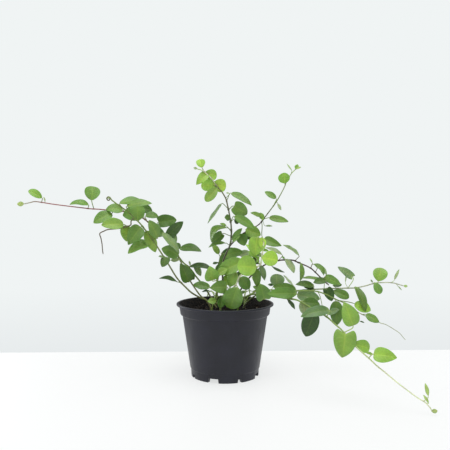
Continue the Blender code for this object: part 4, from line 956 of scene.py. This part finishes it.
# Middle left stem
# Straw-coloured at its foot and green above, rooted between the other two, and ending in dark leaves.
LEFT_MID = [
    (-20, 96.5, 3), (-28, 102, 2), (-33, 106, 2), (-38, 112.5, 1), (-42, 118.5, 1), (-46, 124.5, 0),
    (-50, 132, 0), (-55, 143, -1), (-59, 151, -2), (-63, 158.5, -2), (-67, 165, -3),
    (-71, 172, -4), (-75, 179, -4), (-79, 186, -5), (-82, 190, -5),
]
LEFT_MID_LEAVES = [
    (-80, 188, -78, 184.5, -56, 205.5, -3, -9, 14, 10, 0.06, "oval", "dark"),
    (-78, 185, -75.5, 187.5, -68.5, 177.5, -4, -7, 10.5, 8, 0.0, "oval", "dark"),
    (-74, 177, -68.5, 190.5, -65.5, 176, -7, -8, 5, 20, 0.0, "small", "grey"),
    (-67, 165, -64.5, 177, -60.3, 169, 0, -3, 6, 10, 0.0, "small", "deep"),
    (-82, 190, -83.5, 189.5, -60.5, 163, -10, -12, 13, 44, 0.05, "oval", "grey"),
    (-63, 158.5, -62.5, 160.5, -85, 169.5, -4, -11, 16.5, 6, 0.08, "oval", "mid"),
    (-61, 155, -72.5, 153.5, -60.5, 154.5, -3, -5, 6.5, 25, 0.0, "small", "mist"),
    (-47, 127, -49, 124.5, -60, 149.5, -5, -9, 17, 10, 0.04, "egg", "deep"),
    (-79, 186, -82, 187.5, -101, 196, 3, 6, 13, 15, 0.05, "oval", "deep"),
    (-48, 128, -50, 140, -41, 127.5, 2, 4, 10, 10, 0.0, "oval", "deep"),
]
rooted_stem("periwinkle_left_mid", (-12.0, 4.0), 1.15, 0.8, LEFT_MID, LEFT_MID_LEAVES,
            "straw moss green", "green")

# Crown
# The tallest stem, dark and woody low down and pale at its tip, rooted near the middle. Not quite half
# way up it forks, and a second, purplish stem leans right.
CROWN = [
    (1, 95, 5), (-1.5, 110, 4), (-3.2, 130, 3), (-2.5, 151, 2), (1.8, 163, 2), (6.7, 174, 1),
    (8.5, 187, 0), (8.2, 200, -1), (7.3, 206, -1), (5.5, 217, -2), (4.5, 222, -2), (3, 229, -3),
    (1.5, 235, -3), (-1, 240, -4), (-5, 246, -5), (-11, 252.5, -7), (-17, 261.5, -8),
    (-22, 266.5, -9), (-28.5, 272.5, -11), (-33, 274.5, -12), (-37, 275.5, -13),
]
CROWN_TWIGS = [[
    (6.7, 173, 1), (11, 177.5, 2), (15, 182, 3), (20, 186, 4), (25, 190, 6), (33, 194, 8),
    (40, 198, 9), (44, 200.5, 10), (47, 203, 10), (51, 208, 11), (57, 216, 12), (63, 224, 12),
    (69, 232.5, 12), (75, 243, 12), (80, 253, 11), (81.5, 257, 11), (87, 267, 10),
    (90, 271, 10), (94, 275, 9),
]]
CROWN_LEAVES = [
    (8, 205, 12.3, 208, 18, 202.5, 3, 6, 6, 20, 0.0, "small", "dark"),
    (-28, 272, -30.5, 277.3, -34.3, 288.3, 1, 5, 11.5, 5, 0.06, "round", "bright"),
    (-36, 275.2, -37, 276, -42, 277.3, 0, 0, 3.2, 10, 0.0, "small", "mist"),
    (-23, 267, -29, 267.5, -10.5, 268, 2, 6, 14.5, 3, 0.06, "round", "bright"),
    (-28, 272, -24, 269.5, -38.5, 254.3, 2.2, -3, 12.5, 14, 0.08, "egg", "bright"),
    (-12, 254, -10.5, 255, -32.3, 252.8, 2.2, 6, 14.5, 5, 0.06, "round", "bright"),
    (-11, 252.5, -10, 250.5, -26, 232.3, -3, -9, 12.5, 6, 0.06, "round", "fresh"),
    (-9, 250.5, -17, 255, 1.8, 252.5, 2.6, 7, 17, 3, 0.06, "round", "lime"),
    (2.3, 233, 8.5, 243.3, 36, 227, -2, -11, 10.4, 34, 0.06, "oval", "mid"),
    (5, 238.5, 5.5, 242.8, 1.5, 244, -1, 3, 2.7, 34, 0.0, "small", "mist"),
    (4.5, 222, -5.2, 229, -24, 203.5, -2, -12, 12, 68, -0.02, "egg", "grey"),
    (4.7, 221.5, 12, 226, 30, 215, 2, 8, 18.5, 6, 0.06, "heart", "mid"),
    (6.8, 209, 6.5, 211, -0.5, 210.5, -2, -6, 8.5, 5, 0.0, "small", "deep"),
    (8, 205, 13, 212.5, 40, 195.5, -3.5, -10, 11.5, 12, 0.05, "oval", "mid"),
    (8.5, 194, 2, 197, -18.5, 177, -3, -8, 14.5, 56, 0.34, "oval", "leaf"),
    (8.5, 186, -3.5, 189, -17.5, 177.5, 0, 5, 12, 8, 0.05, "heart", "leaf"),
    (5, 174, 1, 176.5, -22.5, 171, -2, -9, 9.5, 56, 0.12, "lance", "leaf"),
    (8.6, 191, 2, 199, -7, 203, 3, 7, 5, 45, 0.05, "small", "fresh"),
    (8.8, 184, 9.5, 181, 23, 196.5, -3, -6, 9, 30, 0.05, "lance", "leaf"),
    (7.5, 177, 10, 178.5, 20, 186, -6, -10, 8, 45, 0.0, "small", "mid"),
    (20, 186, 20, 188.5, 26, 173, -4, -7, 14.5, 5, 0.0, "oval", "leaf"),
    (22, 187.5, 23, 187, 43, 184, 2, 4, 11, 25, 0.05, "oval", "deep"),
    (33, 194, 28, 194.5, 48, 187, -3, -6, 16, 10, 0.06, "oval", "fresh"),
    (51, 208, 50, 212, 34, 217.3, -2, -8, 7, 36, 0.05, "oval", "mid"),
    (49, 205.5, 51, 207.5, 47, 217.5, -3, -2, 7, 15, 0.0, "small", "fresh"),
    (52, 209, 59.5, 210.5, 85, 205.3, -2, -11, 9.5, 22, 0.06, "oval", "mid"),
    (50, 207, 54, 199.5, 63.5, 199.3, -1, -3, 2.8, 30, 0.0, "small", "grey"),
    (49, 205.5, 52.5, 182, 76, 172.8, -4, -12, 12, 10, 0.05, "egg", "leaf"),
    (65, 227, 68, 236.5, 53, 245.3, -2, 4, 8, 12, 0.05, "oval", "mid"),
    (69, 231.5, 70.5, 229.5, 75, 220.5, -1, -4, 4, 20, 0.0, "small", "mist"),
    (80.5, 254, 80, 256.5, 79, 270.5, -1, -7, 15, 0, 0.06, "round", "bright"),
    (88, 268.5, 89, 273.5, 82.5, 282.8, 0, 3, 2.6, 40, 0.0, "small", "mist"),
    (93.5, 274.5, 94.5, 275, 97, 281.8, 0, 1, 5.5, 10, 0.0, "small", "fresh"),
    (93.5, 274.5, 95, 275.7, 101.5, 278.3, -1, -2, 2.6, 20, 0.0, "small", "bud"),
]
rooted_stem("periwinkle_crown", (3.0, 6.0), 1.3, 0.7, CROWN, CROWN_LEAVES,
            "twig dark dark twig twig grey moss cream pale", "green",
            CROWN_TWIGS, ["purple purple purple purple green mist pale"])

# Centre stem
# Short, green and leafy, rooted well back, so that the front leaves hide most of it.
CENTRE = [
    (-10.5, 104, 22), (-10.5, 116, 20), (-9.4, 133, 19), (-8.7, 145, 19), (-7.5, 152, 19),
    (-6, 158, 19), (-3, 163, 19),
]
CENTRE_LEAVES = [
    (-9, 130, -3, 138.5, 14, 141, -3, -5, 11, 20, 0.0, "small", "dark"),
    (-6.5, 157, -8.5, 162, -17, 175.5, 1, 5, 8, 15, 0.05, "oval", "fresh"),
    (-3, 162, 0, 160, 24, 165.5, -4, -9, 14, 20, 0.08, "oval", "mid"),
    (-3, 162.5, -5, 163, 17, 168.5, 3, 5, 9, 20, 0.0, "lance", "dark"),
    (-9, 136, -6, 142, 8, 156, 2, 6, 14, 10, 0.04, "oval", "dark"),
    (-3, 162.5, 20, 160, 33.5, 165, 2, 3, 10, 20, 0.0, "oval", "mist"),
    (-8, 149.5, -9, 150.7, -16.5, 148.8, -1, -4, 6.5, 56, 0.0, "small", "dark"),
    (-10, 120, -4, 124, 14, 131, 2, 7, 14, 12, 0.05, "oval", "bright"),
    (-9, 132, -10, 136, -1, 152, -3, -6, 12, 14, 0.06, "oval", "leaf"),
    (-8, 149, -6, 150, 8, 164, -4, -6, 11, 20, 0.04, "oval", "leaf"),
]
rooted_stem("periwinkle_centre", (-12.0, 26.0), 1.2, 0.9, CENTRE, CENTRE_LEAVES, "green green", "green")

# Front stem
# Soft young growth, rooted toward the front, with bright leaves on pale stalks that stand out toward
# the eye.
FRONT = [
    (-7, 97, -16), (-4, 104, -18), (0, 108, -20), (5, 111, -22), (10, 115.5, -24), (14, 120, -26),
    (17, 126, -28), (20, 132, -30), (27, 138, -32), (35, 142, -33), (43, 144.5, -34),
    (47.5, 148, -35), (48.7, 155, -36), (50, 163, -36), (51.3, 171, -36), (52, 178, -35),
]
FRONT_LEAVES = [
    (52, 177.5, 43, 184, 39.5, 158.5, 3, 0, 20.5, 6, 0.06, "egg", "bright"),
    (52, 177.5, 49, 184, 50.8, 167.5, 2, -1, 10, 20, 0.05, "oval", "lime"),
    (49.8, 161, 49.5, 157, 70.8, 153, -2, -9, 19, 8, 0.06, "round", "lime"),
    (43, 144.5, 42, 144, 16.5, 146, -5, -13, 25, 6, 0.08, "round", "bright"),
    (27, 138, 23, 152, -10.5, 136, 8, 10, 19.5, 12, 0.07, "oval", "fresh"),
    (47.3, 147.5, 40.5, 157.5, 31.5, 166, 4, 6, 8, 35, 0.0, "small", "fresh"),
    (46, 150.5, 45, 148.5, 37.5, 157, 4, 5, 8, 15, 0.0, "small", "dark"),
    (43, 144.5, 41.5, 142, 43.5, 117.5, 3, -1, 11, 14, 0.05, "oval", "leaf"),
    (47.5, 147.5, 46.5, 148, 53.5, 126, 3, 6, 8, 20, 0.05, "lance", "grey"),
    (14, 120, 16.5, 117.5, 6.5, 88.3, -6, -12, 25, 8, 0.07, "round", "leaf"),
    (17, 126, 20.5, 130.5, 33, 114.5, 2, 7, 15, 8, 0.07, "oval", "mid"),
    (5, 111, 2.5, 117.5, -20.5, 116.5, -5, -11, 16.5, 8, 0.07, "egg", "leaf"),
    (17.5, 127, 14.5, 137, 5, 118, 5, 9, 15, 18, 0.05, "oval", "fresh"),
    (50, 163, 46, 158, 35, 151, 5, 8, 9, 20, 0.0, "small", "bright"),
]
rooted_stem("periwinkle_front", (-6.0, -15.0), 1.2, 0.8, FRONT, FRONT_LEAVES, "pale cream cream",
            "pale", finish=YOUNG_LEAF)

# Low stem
# A short soft shoot with young leaves, rooted toward the front on the left, low over the peat.
LOW = [
    (-15.5, 96, -21), (-13, 104, -22), (-11, 112, -23), (-10, 120, -24), (-11, 128, -25),
    (-12, 133, -25),
]
LOW_LEAVES = [
    (-11, 126, -17.5, 126.5, -20.5, 145.8, -3, -8, 18.5, 8, 0.06, "egg", "fresh"),
    (-11.5, 131, -9.5, 136, 3, 142, -3, -5, 10, 15, 0.0, "oval", "fresh"),
    (-10.5, 117, -20.5, 117, -43, 121.5, 2, 8, 11.5, 26, 0.05, "oval", "deep"),
    (-12, 108, -21, 112.5, -31, 111.3, 1, 2, 5, 60, 0.0, "small", "dark"),
    (-14.5, 100, -11.5, 99.5, -23.5, 98, -4, -8, 8.5, 20, 0.05, "small", "fresh"),
    (-13, 103, -4.5, 105, -6.5, 88.5, -3, -6, 10, 15, 0.0, "small", "mid"),
]
rooted_stem("periwinkle_low", (-17.0, -20.0), 1.1, 0.9, LOW, LOW_LEAVES, "green pale", "pale",
            finish=YOUNG_LEAF)

# Upper right stem
# Dark and woody, rooted toward the back. It climbs to the right and arches over, and most of its narrow
# leaves are turned well away from the eye.
RIGHT_HIGH = [
    (14, 99, 26), (20, 112, 25), (30, 127, 24), (42, 139, 22), (53, 147, 20), (62, 151.5, 17),
    (70, 153, 14), (80, 154, 11), (91, 153.5, 8), (97, 151, 7), (104, 148, 5), (110, 145.5, 4),
    (116, 142, 2), (121, 137.5, 1), (126, 132.5, 0), (131, 127.5, -1), (136, 123, -3),
    (139.5, 119.8, -4),
]
RIGHT_HIGH_LEAVES = [
    (94, 152.5, 99, 160, 77.5, 174.2, -2, -9, 10.5, 63, 0.04, "egg", "grey"),
    (80, 154, 81, 155, 93, 136.3, -4, -12, 10.5, 34, 0.08, "oval", "mist"),
    (79, 154, 79.3, 155, 76.5, 159, -1, 1, 3.5, 40, 0.0, "small", "mid"),
    (72, 153.3, 76.5, 161, 54, 171.5, 2, 9, 8.4, 52, 0.03, "lance", "mist"),
    (98.5, 150.5, 101, 150.5, 101, 124.5, -4, -8, 7.5, 30, 0.13, "lance", "mid"),
    (114.5, 143, 117, 150, 113.5, 156.5, 1, 4, 3, 50, 0.0, "small", "mist"),
    (115, 143, 118, 148.5, 133.5, 133, -2, -9, 10, 48, 0.20, "lance", "leaf"),
    (121, 137.5, 127, 146, 137, 133.5, 2, 4, 7, 40, 0.05, "lance", "mist"),
    (136, 123, 133.5, 131, 156, 120.5, 2, 8, 11, 10, 0.06, "egg", "mid"),
    (134, 125, 135, 126.5, 118.5, 123.5, -4, -9, 10, 24, 0.05, "oval", "deep"),
    (58, 149.7, 62.5, 146, 80, 137.4, -3, -8, 7.5, 62, -0.10, "lance", "dark"),
    (131, 127.5, 135, 131, 147, 124.5, 3, 6, 6, 30, 0.04, "small", "leaf"),
]
rooted_stem("periwinkle_right_high", (13.0, 26.0), 1.15, 0.8, RIGHT_HIGH, RIGHT_HIGH_LEAVES,
            "dark purple purple dark", "moss")

# Far right stem
# Long, wiry and nearly level, green at its root and pale beyond it, with two round leaves near its end.
RIGHT_FAR = [
    (31, 104, 15), (40, 111, 14), (52, 113.5, 13), (65, 113.5, 12), (80, 113, 10),
    (95, 112.7, 9), (113.6, 114, 8), (140, 115.3, 6), (160, 116, 5), (174, 116.4, 5),
    (188, 119, 4), (200.5, 122.6, 3), (214, 123.6, 2), (224.6, 123.2, 1), (234, 120.7, 1),
    (240, 119, 0),
]
RIGHT_FAR_LEAVES = [
    (117, 114.2, 119, 116, 106, 117.5, -1, -2, 6, 20, 0.0, "small", "dark"),
    (199, 122.2, 205.5, 125.2, 209.2, 143.6, 2, 7, 18.6, 0, 0.06, "round", "fresh"),
    (199.5, 122.3, 200.5, 123.5, 208.5, 108.3, -2, -8, 10.6, 10, 0.05, "round", "mid"),
    (199, 122.2, 198, 123.8, 195.3, 127.6, 0, 2, 2.4, 20, 0.0, "small", "grey"),
    (223, 123.3, 227, 127, 233.5, 141.8, 1, 6, 4.2, 30, 0.0, "lance", "mist"),
    (229, 122, 232, 118.6, 237, 113, -1, -2, 2.4, 50, 0.0, "small", "mist"),
    (239, 119.3, 239.5, 119.1, 245, 118.6, 0, 0, 3.6, 10, 0.0, "small", "bud"),
    (165, 116.2, 171, 131, 151, 144.8, 2, 8, 11, 26, 0.04, "heart", "grey"),
    (164.5, 116.2, 161.5, 124, 163.3, 136.5, -1, 2, 2.4, 40, -0.05, "small", "mist"),
    (142, 115.4, 144.5, 112.5, 166.5, 103, -3, -10, 12, 12, 0.06, "round", "leaf"),
    (138, 115.2, 136, 115.5, 143.5, 98.5, -3, -6, 13, 5, 0.04, "heart", "dark"),
    (174, 116.4, 175, 117.5, 189, 84.5, -6, -20, 11.5, 30, 0.09, "oval", "leaf"),
    (70, 113.4, 69.5, 117.5, 69, 135.2, -5, -2, 18.6, 5, 0.05, "round", "grey"),
    (62, 113.5, 64.5, 120, 57.5, 120.9, 1, 3, 4, 25, 0.0, "small", "dark"),
    (96, 112.7, 95, 112, 64, 118.5, -3, -5, 14, 12, 0.05, "oval", "leaf"),
    (119, 114.3, 118.5, 119, 94.5, 121, -3, -9, 9.5, 34, 0.06, "oval", "deep"),
    (117, 114.2, 118, 121.5, 98, 124.5, 1, 3, 6, 30, 0.03, "lance", "dark"),
    (133, 115, 131, 127.5, 103, 130.7, 3, 8, 9, 62, 0.03, "lance", "mid"),
    (93, 112.7, 94, 117, 79, 134.2, 2, 6, 8, 68, -0.03, "lance", "mist"),
    (96, 112.7, 97, 107.5, 128, 101.5, -3, -9, 17, 12, 0.06, "oval", "grey"),
    (150, 115.7, 145, 120, 157, 121, 1, 3, 8, 30, 0.04, "small", "deep"),
    (40, 111, 47.5, 114.5, 37.5, 118.5, 3, 5, 6, 20, 0.0, "small", "leaf"),
]
rooted_stem("periwinkle_right_far", (27.0, 16.0), 1.2, 0.65, RIGHT_FAR, RIGHT_FAR_LEAVES,
            "green pale mist mist", "pale")

# Middle right stem
# Dark where it is rooted, it slopes down to the right and thins out into a pale bare tendril.
RIGHT_MID = [
    (31, 98.5, -2), (42, 106.5, -5), (56, 110.5, -8), (95, 112.3, -14),
    (112, 112.6, -15), (124, 111.4, -17), (135, 107.8, -19), (145, 102.8, -21),
    (152, 99.5, -23), (160, 96, -25), (172, 88, -29), (178, 84, -31),
    (184, 80.7, -33), (198, 74.3, -38), (209, 69, -40), (217, 66.5, -42),
    (231, 58, -45), (236, 54, -46), (239.5, 49.5, -46), (242.8, 46, -46),
]
RIGHT_MID_LEAVES = [
    (147, 101.8, 149, 98.5, 150.3, 65.5, -3, -7, 17, 10, 0.06, "oval", "deep"),
    (152, 99.5, 174, 95, 196.5, 86, 12, 14, 14, 10, 0.06, "oval", "bright"),
    (184, 80.7, 189.5, 80.5, 207.5, 70, -3, -8, 9.7, 14, 0.06, "oval", "mid"),
    (125, 111, 138, 81.5, 153.5, 87.5, -11, -15, 8, 22, 0.05, "oval", "grey"),
    (172, 88, 181, 71.5, 187.5, 69.5, 2, 2, 2.4, 40, 0.0, "small", "dark"),
]
rooted_stem("periwinkle_right_mid", (25.0, 0.0), 1.15, 0.35, RIGHT_MID, RIGHT_MID_LEAVES,
            "dark green green mist mist", "green")

# Trailing stem
# Soft and green, rooted on the right, it hangs forward over the lip and comes down to the table at its
# cream-coloured tip.
TRAIL = [
    (22, 99, -14), (30, 105.5, -19), (40, 108, -26), (52, 107, -34), (66, 104.5, -43),
    (92, 101, -60), (100, 98.5, -66), (110, 93, -73), (118, 88, -80),
    (136.4, 77.5, -95), (148.4, 66.8, -105), (156.4, 60, -111), (167, 47, -119),
    (175, 38, -125), (195, 20, -135), (205, 10.5, -139), (217, 1, -143),
    (230, -10, -147), (245, -21.5, -151), (260, -32.5, -154), (268, -37, -156), (272, -40.5, -157),
    (276, -45, -158), (279.5, -50, -159),
]
TRAIL_LEAVES = [
    (160, 56, 161.3, 54.5, 157.5, 22, -5, -12, 25, 6, 0.06, "deep", "fresh"),
    (174, 39, 173.5, 41.5, 195, 34.5, 2, 6, 13.5, 12, 0.06, "round", "bright"),
    (186, 28.5, 189, 29, 199.5, 26.7, 2, 3, 4, 40, 0.0, "small", "fresh"),
    (193, 21.5, 200, 27, 232, 22, -3, -11, 16.5, 10, 0.06, "egg", "bright"),
    (268, -37, 274, -30, 269.5, -12, 2, 5, 4.4, 25, 0.04, "lance", "bud"),
    (270, -38.7, 274.6, -39.3, 267.2, -28.3, 1, 3, 3.4, 30, 0.0, "small", "bud"),
    (279.3, -49.7, 278.6, -50.6, 286.8, -49.8, 0, 0, 4.6, 8, 0.0, "small", "bud"),
    (136.4, 77.5, 140, 86, 101.5, 78, -5, -14, 13, 22, 0.07, "oval", "sage"),
    (125, 84, 121, 84, 108, 50.3, 2, 7, 20, 6, 0.06, "oval", "shade"),
    (160, 56, 172, 65.5, 159.5, 98, 4, 11, 19, 5, 0.06, "egg", "fresh"),
    (57, 106.2, 52.5, 101.5, 47.5, 121.5, -4, -8, 19, 6, 0.06, "heart", "leaf"),
    (52, 107, 51, 111.5, 35.5, 131.5, 6, 12, 8, 45, 0.04, "lance", "lime"),
    (80, 102.8, 83, 101.5, 94, 87.5, -2, -6, 6.5, 44, 0.04, "lance", "dark"),
    (104, 96.5, 105, 97, 127.5, 93.5, 3, 6, 13, 15, 0.07, "oval", "deep"),
    (103, 97.2, 103.5, 99, 108.5, 79.5, 3, 6, 12.5, 12, 0.06, "oval", "mist"),
    (88, 101.8, 95.5, 108.8, 57, 108.5, -3, -2, 13.5, 8, 0.05, "oval", "leaf"),
]
rooted_stem("periwinkle_trailing", (17.0, -12.0), 1.2, 0.65, TRAIL, TRAIL_LEAVES,
            "green green green green pale cream cream cream", "pale")

# Three stems at the back
# The side that the photograph doesn't show: one green stem hangs over the lip on each side and one leans
# up and out, all rooted in the peat. Their lines are given in space, as (x, y, z) in mm.
BACK_THICK = 1.1
BACK_THIN = 0.7
BACK_STALK = 5.0
BACK_LEFT = [
    (-12, 32, 76), (-12, 32, 90.2), (-14, 37, 98), (-17, 46, 103), (-20, 58, 104), (-24, 70, 100),
    (-27, 80, 89), (-29, 87, 76), (-31, 92, 61), (-33, 95, 46), (-36, 97, 31),
]
BACK_RIGHT = [
    (27, 34, 76), (27, 34, 90.2), (28, 40, 101), (31, 52, 109), (34, 65, 110), (36, 77, 102),
    (38, 86, 88), (39, 92, 71), (38, 96, 55),
]
BACK_HIGH = [
    (3, 40, 76), (3, 40, 90.2), (6, 45, 107), (12, 52, 124), (20, 62, 139), (29, 71, 150),
    (39, 78, 157), (49, 83, 160),
]


def back_stem(name, places, first, size, seed, young):
    """Leaves in opposite pairs, one pair at each place of the line from number first on. Every second
    pair is turned a little about the stem, and they grow smaller toward its end."""
    chance = random.Random(seed)
    points = np.array(places, float) * MM
    shoot = Shoot(name, seed)
    shoot.stem(points, BACK_THICK, BACK_THIN, "green pale", points[first:])
    count = len(points) - first
    for k in range(first, len(points)):
        ahead = unit(points[k] - points[k - 1])
        spread = unit(np.cross(ahead, (0.0, 0.0, 1.0)))
        if (k - first) % 2 == 1:
            spread = unit(spread * 0.75 + np.cross(ahead, spread) * 0.5)
        long = size * (1.0 - 0.45 * (k - first) / count) * MM
        tint = TINTS[young if k > first + count / 2 else "leaf"]
        for hand in (-1.0, 1.0):
            out = unit(spread * hand + ahead * chance.uniform(0.35, 0.7))
            # hardly forward, where the camera would see it
            out[1] = max(out[1], -0.1)
            base = points[k] + out * BACK_STALK * MM
            tip = points[k] + out * (BACK_STALK * MM + long * chance.uniform(0.9, 1.1))
            tip[2] -= long * chance.uniform(0.05, 0.25)
            wide = long / MM * chance.uniform(0.52, 0.62)
            roll = chance.uniform(-15, 15)
            shoot.leaf(points[k], base, tip, np.array((0.0, 0.5, 1.0)), wide, roll, 0.08, "oval", tint,
                       BARK["green"])
    shoot.finish(*OLD_LEAF)


back_stem("periwinkle_back_left", BACK_LEFT, 6, 24.0, 12, "mid")
back_stem("periwinkle_back_right", BACK_RIGHT, 5, 24.0, 23, "fresh")
back_stem("periwinkle_back_high", BACK_HIGH, 3, 23.0, 37, "bright")
